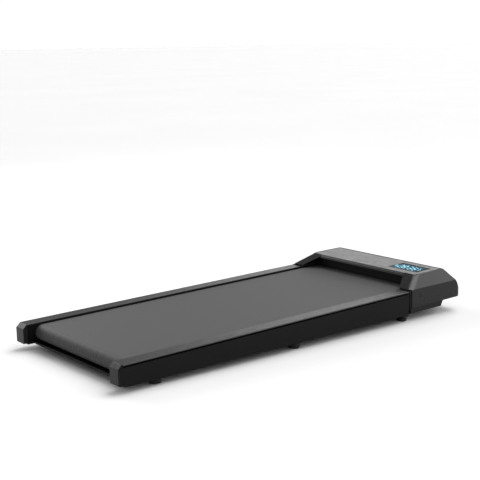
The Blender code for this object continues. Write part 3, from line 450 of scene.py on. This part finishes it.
def round_edges(target, width, segments=3, angle=25.0):
    """Round the edges sharper than an angle."""
    modifier = target.modifiers.new("Rounding", "BEVEL")
    modifier.width = width
    modifier.segments = segments
    modifier.limit_method = "ANGLE"
    modifier.angle_limit = math.radians(angle)
    modifier.use_clamp_overlap = True
    modifier.harden_normals = False
    bake(target)


def arc(centre, radius, start, end, steps):
    points = []
    for step in range(steps + 1):
        angle = math.radians(start + (end - start) * step / steps)
        points.append((centre[0] + radius * math.cos(angle), centre[1] + radius * math.sin(angle)))
    return points


def blend_curve(start, control, end, steps):
    """Points on a parabola from start to end, pulled towards a control point."""
    points = []
    for step in range(steps + 1):
        t = step / steps
        weights = ((1 - t) ** 2, 2 * t * (1 - t), t ** 2)
        points.append(tuple(sum(w * p[i] for w, p in zip(weights, (start, control, end)))
                            for i in range(2)))
    return points


def dress(obj, finish, place, sharp):
    """Move a piece into the row frame, and give it its finish and its shading."""
    obj.data.transform(place)
    obj.data.materials.clear()
    obj.data.materials.append(finish)
    obj.data.shade_smooth()
    obj.data.set_sharp_from_angle(angle=math.radians(sharp))


def finish_piece(obj, *nodes, place=deck_to_row, sharp=28.0, finish=None):
    """Dress a piece with its node's finish, and stand it in for CAD nodes."""
    slot = node_slots[nodes[0]]
    dress(obj, finish or FINISHES[slot], place, sharp)
    weighted = obj.modifiers.new("Weighted normals", "WEIGHTED_NORMAL")
    weighted.keep_sharp = True
    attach(obj, node_bodies[nodes[0]])
    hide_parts(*nodes)
    return obj


def detail_piece(obj, body, slot, finish=None, place=deck_to_row, sharp=28.0):
    """A small piece that rides on a body without standing in for a node."""
    dress(obj, finish or FINISHES[slot], place, sharp)
    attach(obj, body)
    return obj


def softened(node, width, segments=2):
    """A copy of a CAD node's own shape with its edges rounded, in the row frame."""
    bm = bmesh.new()
    bm.from_mesh(frame["nodes"][node].data)
    bmesh.ops.remove_doubles(bm, verts=bm.verts, dist=0.000002)
    bmesh.ops.dissolve_limit(bm, angle_limit=math.radians(1.0), verts=bm.verts, edges=bm.edges)
    piece = mesh_object(node + "_piece", bm)
    round_edges(piece, width, segments, 30.0)
    return piece


def refined(node, width, segments=2):
    """A softened copy that stands in for its node."""
    return finish_piece(softened(node, width, segments), node, place=Matrix.Identity(4))


# --- Rails, beams and end caps -----------------------------------------------------------------
def rail_tread(side, sign):
    """The plastic strip over the beam: a flat tread, a soft outer roll and a small inner edge."""
    inner = HALF_WIDTH - RAIL_WIDTH
    outer = HALF_WIDTH - 0.0002
    roll = 0.0026
    outline = ([(inner, -0.0021), (inner, -0.0008)] + arc((inner + 0.0008, -0.0008), 0.0008, 180, 90, 4)
               + arc((outer - roll, -roll), roll, 90.0, 0.0, 8)
               + [(outer, -0.0032), (0.2474, -0.0032), (0.2474, -0.0021)])
    outline = [(sign * x, z) for x, z in outline]
    tread = prism("rail_tread_" + side, "Y", outline, 0.0123, TREAD_END)
    finish_piece(tread, "rail_cap_" + side)


def end_cap(side, sign):
    """The chamfered plug at the beam's rear end, with its corners rounded."""
    inner, outer = HALF_WIDTH - RAIL_WIDTH, 0.2461
    front, bottom = 0.0120, -0.0505
    outline = [(0.0, bottom), (0.0, -RAIL_CHAMFER), (RAIL_CHAMFER, 0.0), (front, 0.0),
               (front, bottom)]
    cap = prism("end_plug_" + side, "X", outline, sign * inner, sign * outer)
    round_edges(cap, 0.0011, 4)
    join(cap, side_box("plug", sign, (0.2129, 0.2436), (0.0100, 0.0180), (-0.0488, -0.0053)))
    finish_piece(cap, "end_cap_" + side)


def side_beam(side, sign):
    """The beam's own shape, with a dark groove under the tread and a shoulder at the hood."""
    beam = softened("side_beam_" + side, 0.0006, 2)
    groove = side_box("groove", sign, (0.2420, CLEAR_X), (-0.0200, 1.0), (-0.0072, 0.0100))
    end_trim = side_box("end_trim", sign, (0.2455, CLEAR_X), (TREAD_END, 0.9990),
                        (-0.0900, 0.0100))
    shoulder = side_box("shoulder", sign, (0.2362, 0.2486), SHOULDER_Y, (-0.0500, 0.0008))
    for cutter in (groove, end_trim, shoulder):
        cutter.data.transform(deck_to_row)
    cut(beam, groove, end_trim)
    join(beam, shoulder)
    finish_piece(beam, "side_beam_" + side, place=Matrix.Identity(4))


# --- Walking belt and rollers ------------------------------------------------------------------
def belt_path(radius, straight_steps, arc_steps):
    """The loop round both rollers as (y, z, share of the way round the rear roller or None)."""
    rear, front = (REAR_ROLLER_Y, ROLLER_Z), (FRONT_ROLLER_Y, ROLLER_Z)
    path = []
    for step in range(straight_steps):
        y = REAR_ROLLER_Y + (FRONT_ROLLER_Y - REAR_ROLLER_Y) * step / straight_steps
        path.append((y, ROLLER_Z + radius, None))
    path += [(y, z, None) for y, z in arc(front, radius, 90.0, -90.0, arc_steps)[:-1]]
    for step in range(straight_steps):
        y = FRONT_ROLLER_Y + (REAR_ROLLER_Y - FRONT_ROLLER_Y) * step / straight_steps
        path.append((y, ROLLER_Z - radius, None))
    turned_points = arc(rear, radius, 270.0, 90.0, arc_steps)[:-1]
    path += [(y, z, step / arc_steps) for step, (y, z) in enumerate(turned_points)]
    return path


def belt_ripple(x, share):
    """Outward swell of the fine lengthwise ripples where the belt bends round the rear roller."""
    if share is None:
        return 0.0
    mask = math.sin(math.pi * share) ** 0.6
    ripple = (math.sin(2 * math.pi * x / 0.0083 + 1.4 * math.sin(2 * math.pi * x / 0.061))
              + 0.6 * math.sin(2 * math.pi * x / 0.0131 + 0.8)
              + 0.4 * math.sin(2 * math.pi * x / 0.0294 + 2.1))
    return 0.00024 * mask * ripple


def walking_belt():
    """One endless belt with rounded edges and a rippled bend over the rear roller."""
    straight_steps, arc_steps, across = 14, 28, 220
    outer = belt_path(BELT_INNER_RADIUS + BELT_THICKNESS, straight_steps, arc_steps)
    inner = belt_path(BELT_INNER_RADIUS, straight_steps, arc_steps)
    rim = 0.0005
    stations = [-BELT_HALF_WIDTH, -BELT_HALF_WIDTH + rim * 0.3]
    width = 2.0 * (BELT_HALF_WIDTH - rim)
    stations += [-BELT_HALF_WIDTH + rim + width * i / across for i in range(across + 1)]
    stations += [BELT_HALF_WIDTH - rim * 0.3, BELT_HALF_WIDTH]
    sunk = [0.0005, 0.00015] + [0.0] * (across + 1) + [0.00015, 0.0005]
    bm = bmesh.new()

    def skin(path, turn, rippled):
        rows = []
        for x, drop in zip(stations, sunk):
            row = []
            for y, z, share in path:
                centre_y = min(max(y, REAR_ROLLER_Y), FRONT_ROLLER_Y)
                away = Vector((0.0, y - centre_y, z - ROLLER_Z)).normalized()
                swell = belt_ripple(x, share) if rippled else 0.0
                row.append(bm.verts.new(Vector((x, y, z)) + away * (swell - turn * drop)))
            rows.append(row)
        count = len(path)
        for first, second in zip(rows, rows[1:]):
            for index in range(count):
                after = (index + 1) % count
                bm.faces.new((first[index], second[index], second[after], first[after]))
        return rows

    outside = skin(outer, 1.0, True)
    inside = skin(inner, 0.0, False)
    for end in (0, -1):
        for index in range(len(outer)):
            after = (index + 1) % len(outer)
            bm.faces.new((outside[end][index], outside[end][after], inside[end][after],
                          inside[end][index]))
    bmesh.ops.recalc_face_normals(bm, faces=bm.faces)
    finish_piece(mesh_object("walking_belt_surface", bm), "walking_belt", sharp=50.0)


def roller_tube(node, y, left_end, right_end):
    lip = 0.0008
    bore = ROLLER_RADIUS - ROLLER_WALL
    profile = [(ROLLER_RADIUS, right_end - lip), (ROLLER_RADIUS, left_end + lip),
               (ROLLER_RADIUS - lip, left_end), (bore, left_end), (bore, right_end),
               (ROLLER_RADIUS - lip, right_end)]
    tube = turned(node + "_tube", "X", (0.0, y, ROLLER_Z), profile, 72, ring=True)
    finish_piece(tube, node)


# --- Motor hood --------------------------------------------------------------------------------
def nose_outline(steps):
    return blend_curve((HOOD_FRONT, -0.0440), (1.2065, -0.0300), (HOOD_TOP_FRONT, HOOD_TOP), steps)


def hood_solid(name, inset, fineness):
    """The hood's convex outer form, moved inwards all round by the inset."""
    bm = bmesh.new()
    bottom = HOOD_BOTTOM if not inset else HOOD_BOTTOM - 0.0200
    low = Vector((-HALF_WIDTH + inset, HOOD_REAR + inset, bottom))
    high = Vector((HALF_WIDTH - inset, HOOD_FRONT - inset, HOOD_TOP - inset))
    place = Matrix.Translation((low + high) / 2.0) @ Matrix.Diagonal((*(high - low), 1.0))
    bmesh.ops.create_cube(bm, size=1.0, matrix=place)

    nose = nose_outline(4 * fineness)
    for (y0, z0), (y1, z1) in zip(nose, nose[1:]):
        normal = Vector((0.0, z1 - z0, y0 - y1)).normalized()
        plane_cut(bm, Vector((0.0, y0, z0)) - normal * inset, normal)
    ramp_normal = Vector((0.0, 0.0045 - HOOD_TOP, HOOD_TOP_REAR - HOOD_REAR)).normalized()
    plane_cut(bm, Vector((0.0, HOOD_TOP_REAR, HOOD_TOP)) - ramp_normal * inset, ramp_normal)

    corner_steps = 3 * fineness
    for side, sign in SIDES:
        centre = Vector((sign * (HALF_WIDTH - HOOD_CORNER), HOOD_FRONT - HOOD_CORNER, 0.0))
        for step in range(1, corner_steps):
            angle = 0.5 * math.pi * step / corner_steps
            normal = Vector((sign * math.cos(angle), math.sin(angle), 0.0))
            plane_cut(bm, centre + normal * (HOOD_CORNER - inset), normal)

        top_corner = Vector((sign * HOOD_TOP_HALF, HOOD_TOP_REAR, HOOD_TOP))
        across = Vector((sign * HALF_WIDTH, 0.9, HOOD_CREASE + 0.0020)) - top_corner
        along = Vector((sign * HALF_WIDTH, 1.2, HOOD_CREASE - 0.0020)) - top_corner
        bevel_normal = along.cross(across).normalized()
        if bevel_normal.z < 0.0:
            bevel_normal.negate()
        plane_cut(bm, top_corner - bevel_normal * inset, bevel_normal)
        reach = HOOD_FILLET / (1.0 + ramp_normal.dot(bevel_normal))
        fillet_axis = top_corner - (ramp_normal + bevel_normal) * reach
        facets = 4 * fineness
        for facet in range(1, facets):
            normal = ramp_normal.slerp(bevel_normal, facet / facets)
            plane_cut(bm, fillet_axis + normal * (HOOD_FILLET - inset), normal)
    bmesh.ops.recalc_face_normals(bm, faces=bm.faces)
    return mesh_object(name, bm)


def throat_outline(margin, low_margin, bottom, top):
    """The opening between the cheeks, seen along the deck: upright sides that lean in above."""
    low_half = 0.2060
    step_height, lean_start, lean_height, lean = -0.0035, 0.0040, 0.0350, 0.0420
    half = low_half + margin
    top_half = half - lean * (top - lean_start) / lean_height
    right = [(half, lean_start), (top_half, top)]
    if bottom < step_height:
        right = [(low_half + low_margin, bottom), (low_half + low_margin, step_height),
                 (half, step_height)] + right
    else:
        right = [(half, bottom)] + right
    return right + [(-x, z) for x, z in reversed(right)]


def panel_side_view(clearance, steps):
    """The top panel's section: a flat sheet whose rear edge rolls down over the throat."""
    thickness = 0.0023
    roll = 0.0090
    roll_centre = (HOOD_TOP_REAR, HOOD_TOP - roll)
    front = PANEL_FRONT + clearance
    outer = arc(roll_centre, roll + clearance, 180.0, 90.0, steps)
    inner = arc(roll_centre, roll - thickness - clearance, 90.0, 180.0, steps)
    return (outer + [(front, HOOD_TOP + clearance), (front, HOOD_TOP - thickness - clearance)]
            + inner)


def hood_shell():
    """One moulding: flat top, bevelled cheeks that run down to the rails, and a rounded nose."""
    shell = hood_solid("hood_moulding", 0.0, 4)
    round_edges(shell, 0.0013, 3, 14.0)

    cavity = hood_solid("cavity", HOOD_WALL, 1)
    cheek_walls = prism("cheek_walls", "Y", throat_outline(HOOD_WALL, 0.0, -0.0030, 0.0390),
                        0.97, HOOD_TOP_REAR)
    cut(cavity, cheek_walls)
    cut(shell, cavity)

    open_throat = prism("throat", "Y", throat_outline(0.0, 0.0035, -0.07, 0.0390), 0.97, 1.0362)
    under_lip = prism("under_lip", "Y", throat_outline(0.0, 0.0, -0.07, 0.0240), 1.0350, 1.0530)
    cut(shell, open_throat, under_lip)

    seam = PANEL_SEAM
    panel_seat = prism("panel_seat", "X", panel_side_view(GAP, 12), -0.1763, 0.1763)
    panel_bed = box("panel_bed", (-PANEL_HALF - seam, HOOD_TOP_REAR + 0.0007, HOOD_TOP - 0.0026),
                    (PANEL_HALF + seam, PANEL_FRONT + seam, 0.05))
    display_hole = box("display_hole", (0.0850, 1.0710, 0.0), (0.1950, 1.1350, 0.05))
    cut(shell, panel_seat, panel_bed, display_hole)

    socket_pad = box("socket_pad", (0.0600, SOCKET_FACE - 0.0025, -0.0472),
                     (0.1720, 1.2060, -0.0165))
    boolean(socket_pad, "INTERSECT", hood_solid("nose_clear", 0.0, 2))
    socket_pocket = box("socket_pocket", (0.0640, SOCKET_FACE, -0.0465),
                        (0.1680, 1.2300, -0.0195))
    round_edges(socket_pocket, 0.0020, 3)
    inlet_hole = box("inlet_hole", (0.1360, SOCKET_FACE - 0.01, -0.0438),
                     (0.1640, SOCKET_FACE + 0.01, -0.0232))
    switch_hole = box("switch_hole", (0.1005, SOCKET_FACE - 0.01, -0.0440),
                      (0.1155, SOCKET_FACE + 0.01, -0.0230))
    breaker_hole = turned("breaker_hole", "Y", (0.0790, SOCKET_FACE, -0.0335),
                          [(0.0, 0.01), (0.0058, 0.01), (0.0058, -0.01), (0.0, -0.01)], 32)
    join(shell, socket_pad)
    cut(shell, socket_pocket, inlet_hole, switch_hole, breaker_hole)

    for side, sign in SIDES:
        shoulder_gap = side_box("shoulder_gap", sign, (0.2350, CLEAR_X), (0.9600, CHEEK_EDGE),
                                (-0.0700, 0.0036))
        tongue_gap = side_box("tongue_gap", sign, (0.2290, 0.2410), (0.9800, 0.9960),
                              (-0.0700, -0.0050))
        screw_pocket = turned("screw_pocket", "X", (sign * 0.2508, HOOD_SCREW_Y, HOOD_SCREW_Z),
                              [(0.0, 0.0020), (0.0046, 0.0020), (0.0046, -0.0020), (0.0, -0.0020)],
                              32)
        screw_hole = turned("screw_hole", "X", (sign * 0.2450, HOOD_SCREW_Y, HOOD_SCREW_Z),
                            [(0.0, 0.0100), (0.0022, 0.0100), (0.0022, -0.0100), (0.0, -0.0100)],
                            20)
        cut(shell, shoulder_gap, tongue_gap, screw_pocket, screw_hole)
    finish_piece(shell, "hood_shell", sharp=24.0)


def top_panel():
    """The satin panel in the hood's top, cut for the display, and a black strip in the seam round it that paints
    the gap's shade.
    """
    panel = prism("satin_panel", "X", panel_side_view(0.0, 14), -0.1760, 0.1760)
    wings = box("wings", (-PANEL_HALF, HOOD_TOP_REAR + 0.0010, HOOD_TOP - 0.00225),
                (PANEL_HALF, PANEL_FRONT - 0.00005, HOOD_TOP - 0.00002))
    join(panel, wings)
    window_cut = box("window_cut", (WINDOW_X[0] - GAP, WINDOW_Y[0] - GAP, 0.0),
                     (WINDOW_X[1] + GAP, WINDOW_Y[1] + GAP, 0.05))
    cut(panel, window_cut)
    round_edges(panel, 0.0005, 2, 40.0)
    finish_piece(panel, "top_panel")

    # A black strip laid in the seam paints the shade of the gap round the panel.
    play = 0.0002
    rim = PANEL_SEAM - play
    seam_shade_strip = box("panel_seam_shade_strip", (-PANEL_HALF - rim, HOOD_TOP_REAR + 0.0010, HOOD_TOP - 0.0024),
                 (PANEL_HALF + rim, PANEL_FRONT + rim, HOOD_TOP - 0.0006))
    cut(seam_shade_strip, box("seam_shade_strip_cut", (-PANEL_HALF - play, 1.0, 0.0),
                    (PANEL_HALF + play, PANEL_FRONT + play, 0.05)))
    detail_piece(seam_shade_strip, MAIN_BODY, "black_rubber")


# --- Display -----------------------------------------------------------------------------------
READINGS = (  # text, left x, bottom y, height, width, bar thickness and pitch of the digits
    ("28:35", 0.1010, 1.0870, 0.0265, 0.0122, 0.0018, 0.0172),
    ("6", 0.0890, 1.0930, 0.0140, 0.0075, 0.0017, 0.0100),
    ("3", 0.1765, 1.0930, 0.0140, 0.0075, 0.0017, 0.0100),
)
MARK_ROWS = (1.0795, 1.1195)
MARK_LENGTH, MARK_WIDTH, MARK_PITCH, FIRST_MARK_X = 0.0050, 0.0014, 0.0160, 0.1030
SEGMENTS = {
    "0": "abcdef", "1": "bc", "2": "abged", "3": "abgcd", "4": "fgbc", "5": "afgcd",
    "6": "afgedc", "7": "abc", "8": "abcdefg", "9": "abcdfg",
}


def segment_bars(height, width, thick):
    """Corner points of each bar of a seven-segment digit, from its lower left corner."""
    gap = thick * 0.16
    half = thick / 2.0

    def level(y):
        left, right = half + gap, width - half - gap
        return [(left, y), (left + half, y + half), (right - half, y + half), (right, y),
                (right - half, y - half), (left + half, y - half)]

    def upright(x, bottom):
        low, high = bottom + half + gap, bottom + height / 2.0 - gap - half
        return [(x, low), (x + half, low + half), (x + half, high - half), (x, high),
                (x - half, high - half), (x - half, low + half)]

    right, middle = width - half, height / 2.0
    return {
        "a": level(height - half), "g": level(middle), "d": level(half),
        "f": upright(half, middle), "b": upright(right, middle),
        "e": upright(half, 0.0), "c": upright(right, 0.0),
    }


def add_bar(bm, points, base, top):
    """One lit bar with its upper edges drawn in a little."""
    middle = sum((Vector((x, y, 0.0)) for x, y in points), Vector()) / len(points)
    low = [bm.verts.new((x, y, base)) for x, y in points]
    high = [bm.verts.new(Vector((x, y, 0.0)).lerp(middle, 0.04) + Vector((0.0, 0.0, top)))
            for x, y in points]
    bm.faces.new(low)
    bm.faces.new(high)
    for index in range(len(points)):
        after = (index + 1) % len(points)
        bm.faces.new((low[index], low[after], high[after], high[index]))


def display():
    """The dark window, with lit digits and small marks, and a painted dim glow round them."""
    window = box("display_pane", (WINDOW_X[0], WINDOW_Y[0], HOOD_TOP - 0.0022),
                 (WINDOW_X[1], WINDOW_Y[1], HOOD_TOP - 0.0002))
    round_edges(window, 0.0004, 3)
    finish_piece(window, "display_window")

    base, top = HOOD_TOP - 0.00022, HOOD_TOP - 0.00008
    bm = bmesh.new()

    def number(text, x, y, height, width, thick, pitch):
        for letter in text:
            if letter == ":":
                for share in (0.32, 0.68):
                    dot = [(x + dx * thick, y + height * share + dy * thick)
                           for dx, dy in ((0, -0.5), (1, -0.5), (1, 0.5), (0, 0.5))]
                    add_bar(bm, dot, base, top)
                x += thick * 2.6
                continue
            bars = segment_bars(height, width, thick)
            for bar in SEGMENTS[letter]:
                add_bar(bm, [(x + u, y + v) for u, v in bars[bar]], base, top)
            x += pitch

    for reading in READINGS:
        number(*reading)
    for step in range(5):
        left = FIRST_MARK_X + step * MARK_PITCH
        right = left + MARK_LENGTH
        for low in MARK_ROWS:
            high = low + MARK_WIDTH
            add_bar(bm, ((left, low), (right, low), (right, high), (left, high)), base, top)
    bmesh.ops.recalc_face_normals(bm, faces=bm.faces)
    finish_piece(mesh_object("display_digits", bm), "led_module")

    # An emissive sheet under the digits paints the glow that spreads from them.
    halo = box("display_halo", (0.0870, 1.0745, base - 0.0001), (0.1855, 1.1265, base + 0.00004))
    detail_piece(halo, MAIN_BODY, "smoked_acrylic", finish=painted_segment_glow())


# --- Feet, wheels and fasteners ----------------------------------------------------------------
def foot(name, profile, block=None):
    """A turned rubber foot; its place and height are those of its CAD solid."""
    for side, sign in SIDES:
        node = "%s_%s" % (name, side)
        low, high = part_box(node)
        middle = (low + high) / 2.0
        top = high.z - low.z
        pad = turned(node + "_moulding", "Z", (middle.x, middle.y, low.z), profile(top), 56)
        if block:
            half_x, half_y, thickness = block
            upper = box("upper", (middle.x - half_x, middle.y - half_y, high.z - thickness),
                        (middle.x + half_x, middle.y + half_y, high.z))
            round_edges(upper, 0.0012, 3)
            join(pad, upper)
        finish_piece(pad, node, place=Matrix.Identity(4))


def feet():
    foot("rear_foot", lambda top: [
        (0.0, top), (0.0165, top), (0.0175, top - 0.0010), (0.0172, top - 0.0040),
        (0.0162, top - 0.0046), (0.0152, 0.0024), (0.0146, 0.0008), (0.0138, 0.0), (0.0, 0.0)])
    foot("middle_foot", lambda top: [
        (0.0, top), (0.0160, top), (0.0160, top - 0.0050), (0.0154, top - 0.0056),
        (0.0146, 0.0024), (0.0140, 0.0008), (0.0132, 0.0), (0.0, 0.0)],
        (0.0150, 0.0170, 0.0050))
    foot("front_foot", lambda top: [
        (0.0, top), (0.0080, top), (0.0080, 0.0100), (0.0092, 0.0088), (0.0134, 0.0080),
        (0.0143, 0.0068), (0.0146, 0.0040), (0.0143, 0.0012), (0.0136, 0.0), (0.0, 0.0)],
        (0.0140, 0.0110, 0.0090))


def transport_wheels():
    """Small wheels with a grooved tread and a hub boss."""
    r = WHEEL_RADIUS
    profile = [(r - 0.0022, 0.0080), (r - 0.0006, 0.0074), (r, 0.0060), (r, 0.0016),
               (r - 0.0007, 0.0011), (r - 0.0007, -0.0011), (r, -0.0016), (r, -0.0060),
               (r - 0.0006, -0.0074), (r - 0.0022, -0.0080), (r - 0.0050, -0.0080),
               (r - 0.0056, -0.0066), (0.0070, -0.0066), (0.0064, -0.0080), (0.0033, -0.0080),
               (0.0033, 0.0080), (0.0064, 0.0080), (0.0070, 0.0066), (r - 0.0056, 0.0066),
               (r - 0.0050, 0.0080)]
    for side, sign in SIDES:
        wheel = turned("wheel_tyre_" + side, "X", (sign * WHEEL_X, WHEEL_Y, WHEEL_Z), profile, 64,
                       ring=True)
        finish_piece(wheel, "transport_wheel_" + side)


def hood_screws():
    """Countersunk screws with a cross recess."""
    for side, sign in SIDES:
        centre = (sign * 0.2493, HOOD_SCREW_Y, HOOD_SCREW_Z)
        profile = [(0.0, 0.0005), (0.0028, 0.0005), (0.0034, 0.0003), (0.0036, 0.0),
                   (0.0036, -0.0005), (0.0018, -0.0008), (0.0018, -0.0118), (0.0, -0.0118)]
        profile = [(radius, sign * height) for radius, height in profile]
        screw = turned("hood_screw_head_" + side, "X", centre, profile, 40)
        for half_y, half_z in ((0.0022, 0.0005), (0.0005, 0.0022)):
            cut(screw, side_box("recess", sign, (0.2493, 0.2507),
                                (HOOD_SCREW_Y - half_y, HOOD_SCREW_Y + half_y),
                                (HOOD_SCREW_Z - half_z, HOOD_SCREW_Z + half_z)))
        finish_piece(screw, "hood_screw_" + side, finish=blackened_steel())


# --- Assembly ----------------------------------------------------------------------------------
for side_name, side_sign in SIDES:
    rail_tread(side_name, side_sign)
    end_cap(side_name, side_sign)
    side_beam(side_name, side_sign)
    refined("tension_bolt_" + side_name, 0.0004)
    refined("wheel_fork_" + side_name, 0.0003)
walking_belt()
roller_tube("rear_roller", REAR_ROLLER_Y, -ROLLER_HALF_LENGTH, ROLLER_HALF_LENGTH)
roller_tube("front_roller", FRONT_ROLLER_Y, -0.2270, ROLLER_HALF_LENGTH)
hood_shell()
top_panel()
display()
refined("belt_guard", 0.0005)
refined("belly_pan", 0.0009, 3)
refined("rear_crossbar", 0.0008, 3)
refined("motor_tray", 0.0005)
for electrical_node in ("power_inlet", "switch_bezel", "power_rocker"):
    refined(electrical_node, 0.0003)
feet()
transport_wheels()
hood_screws()

for node_name, cad_object in frame["nodes"].items():
    if not cad_object.hide_render:
        for material_slot in cad_object.material_slots:
            material_slot.material = FINISHES[node_slots[node_name]]

# --- Floor, light and camera -------------------------------------------------------------------
floor_finish = Surface("studio_floor", 0.85, specular=0.10)
floor_finish.colour(floor_finish.noise(0.7, 3.0), (0.30, grey(0.52)), (0.75, grey(0.54)))
floor_reach = 60.0
floor = box("studio_floor", (-floor_reach, -floor_reach, -0.02),
            (floor_reach, floor_reach, -0.0001))
floor.data.materials.append(floor_finish.material)

world = bpy.data.worlds.new("studio")
world.use_nodes = True
bpy.context.scene.world = world
sky = world.node_tree
background = sky.nodes["Background"]
background.inputs["Color"].default_value = (1.0, 1.0, 1.0, 1.0)


def sky_math(operation, first, second):
    node = sky.nodes.new("ShaderNodeMath")
    node.operation = operation
    for socket, value in zip(node.inputs, (first, second)):
        if isinstance(value, float):
            socket.default_value = value
        else:
            sky.links.new(value, socket)
    return node.outputs[0]


def sky_span(factor, start, end, low=0.0, high=1.0):
    node = sky.nodes.new("ShaderNodeMapRange")
    node.interpolation_type = "SMOOTHSTEP"
    for name, value in (("From Min", start), ("From Max", end), ("To Min", low), ("To Max", high)):
        node.inputs[name].default_value = value
    sky.links.new(factor, node.inputs["Value"])
    return node.outputs["Result"]


direction = sky.nodes.new("ShaderNodeSeparateXYZ")
sky.links.new(sky.nodes.new("ShaderNodeTexCoord").outputs["Generated"], direction.inputs[0])
across, up = direction.outputs["X"], direction.outputs["Z"]
# A white horizon, a brighter band just above it in front, and a dome that is darker on the left.
dome = sky_span(across, -0.4, 0.7, 0.20, 1.10)
band = sky_math("MULTIPLY", sky_span(across, -0.84, -0.70, 0.40, 2.05),
                sky_span(across, -0.50, -0.10, 1.0, 0.42))
horizon_edge, band_edge = (0.04, 0.09), (0.30, 0.42)
low_sky = sky_math("MULTIPLY", band, sky_span(up, *band_edge, 1.0, 0.0))
high_sky = sky_math("MULTIPLY", dome, sky_span(up, *band_edge))
above = sky_math("MULTIPLY", sky_math("ADD", low_sky, high_sky), sky_span(up, *horizon_edge))
horizon = sky_span(up, *horizon_edge, 1.05, 0.0)
sky.links.new(sky_math("ADD", above, horizon), background.inputs["Strength"])


def lamp(name, kind, azimuth, elevation, distance, energy, **settings):
    """A light aimed at the middle of the deck from an azimuth and elevation in degrees."""
    data = bpy.data.lights.new(name, kind)
    data.energy = energy
    for key, value in settings.items():
        setattr(data, key, value)
    obj = bpy.data.objects.new(name, data)
    level = math.cos(math.radians(elevation)) * distance
    obj.location = (level * math.cos(math.radians(azimuth)),
                    level * math.sin(math.radians(azimuth)),
                    math.sin(math.radians(elevation)) * distance)
    obj.rotation_euler = (-obj.location).to_track_quat("-Z", "Y").to_euler()
    bpy.context.scene.collection.objects.link(obj)


lamp("overhead_key", "SUN", 110.0, 65.0, 5.0, 1.7, angle=math.radians(40.0))
lamp("front_fill", "SUN", 75.0, 42.0, 5.0, 3.3, angle=math.radians(84.0))
lamp("rear_left_fill", "AREA", 190.0, 27.0, 3.5, 74.0, shape="SQUARE", size=2.0)

camera_data = bpy.data.cameras.new("studio_camera")
camera_data.lens = 80.18
camera = bpy.data.objects.new("studio_camera", camera_data)
camera.location = (2.2462, -1.8674, 0.8130)
look = Vector((0.0, -0.0419, 0.2573)) - camera.location
roll = Matrix.Rotation(math.radians(-0.475), 4, "Z")
camera.matrix_world = (Matrix.Translation(camera.location)
                       @ look.to_track_quat("-Z", "Y").to_matrix().to_4x4() @ roll)
bpy.context.scene.collection.objects.link(camera)
bpy.context.scene.camera = camera
bpy.context.scene.view_settings.view_transform = "Standard"
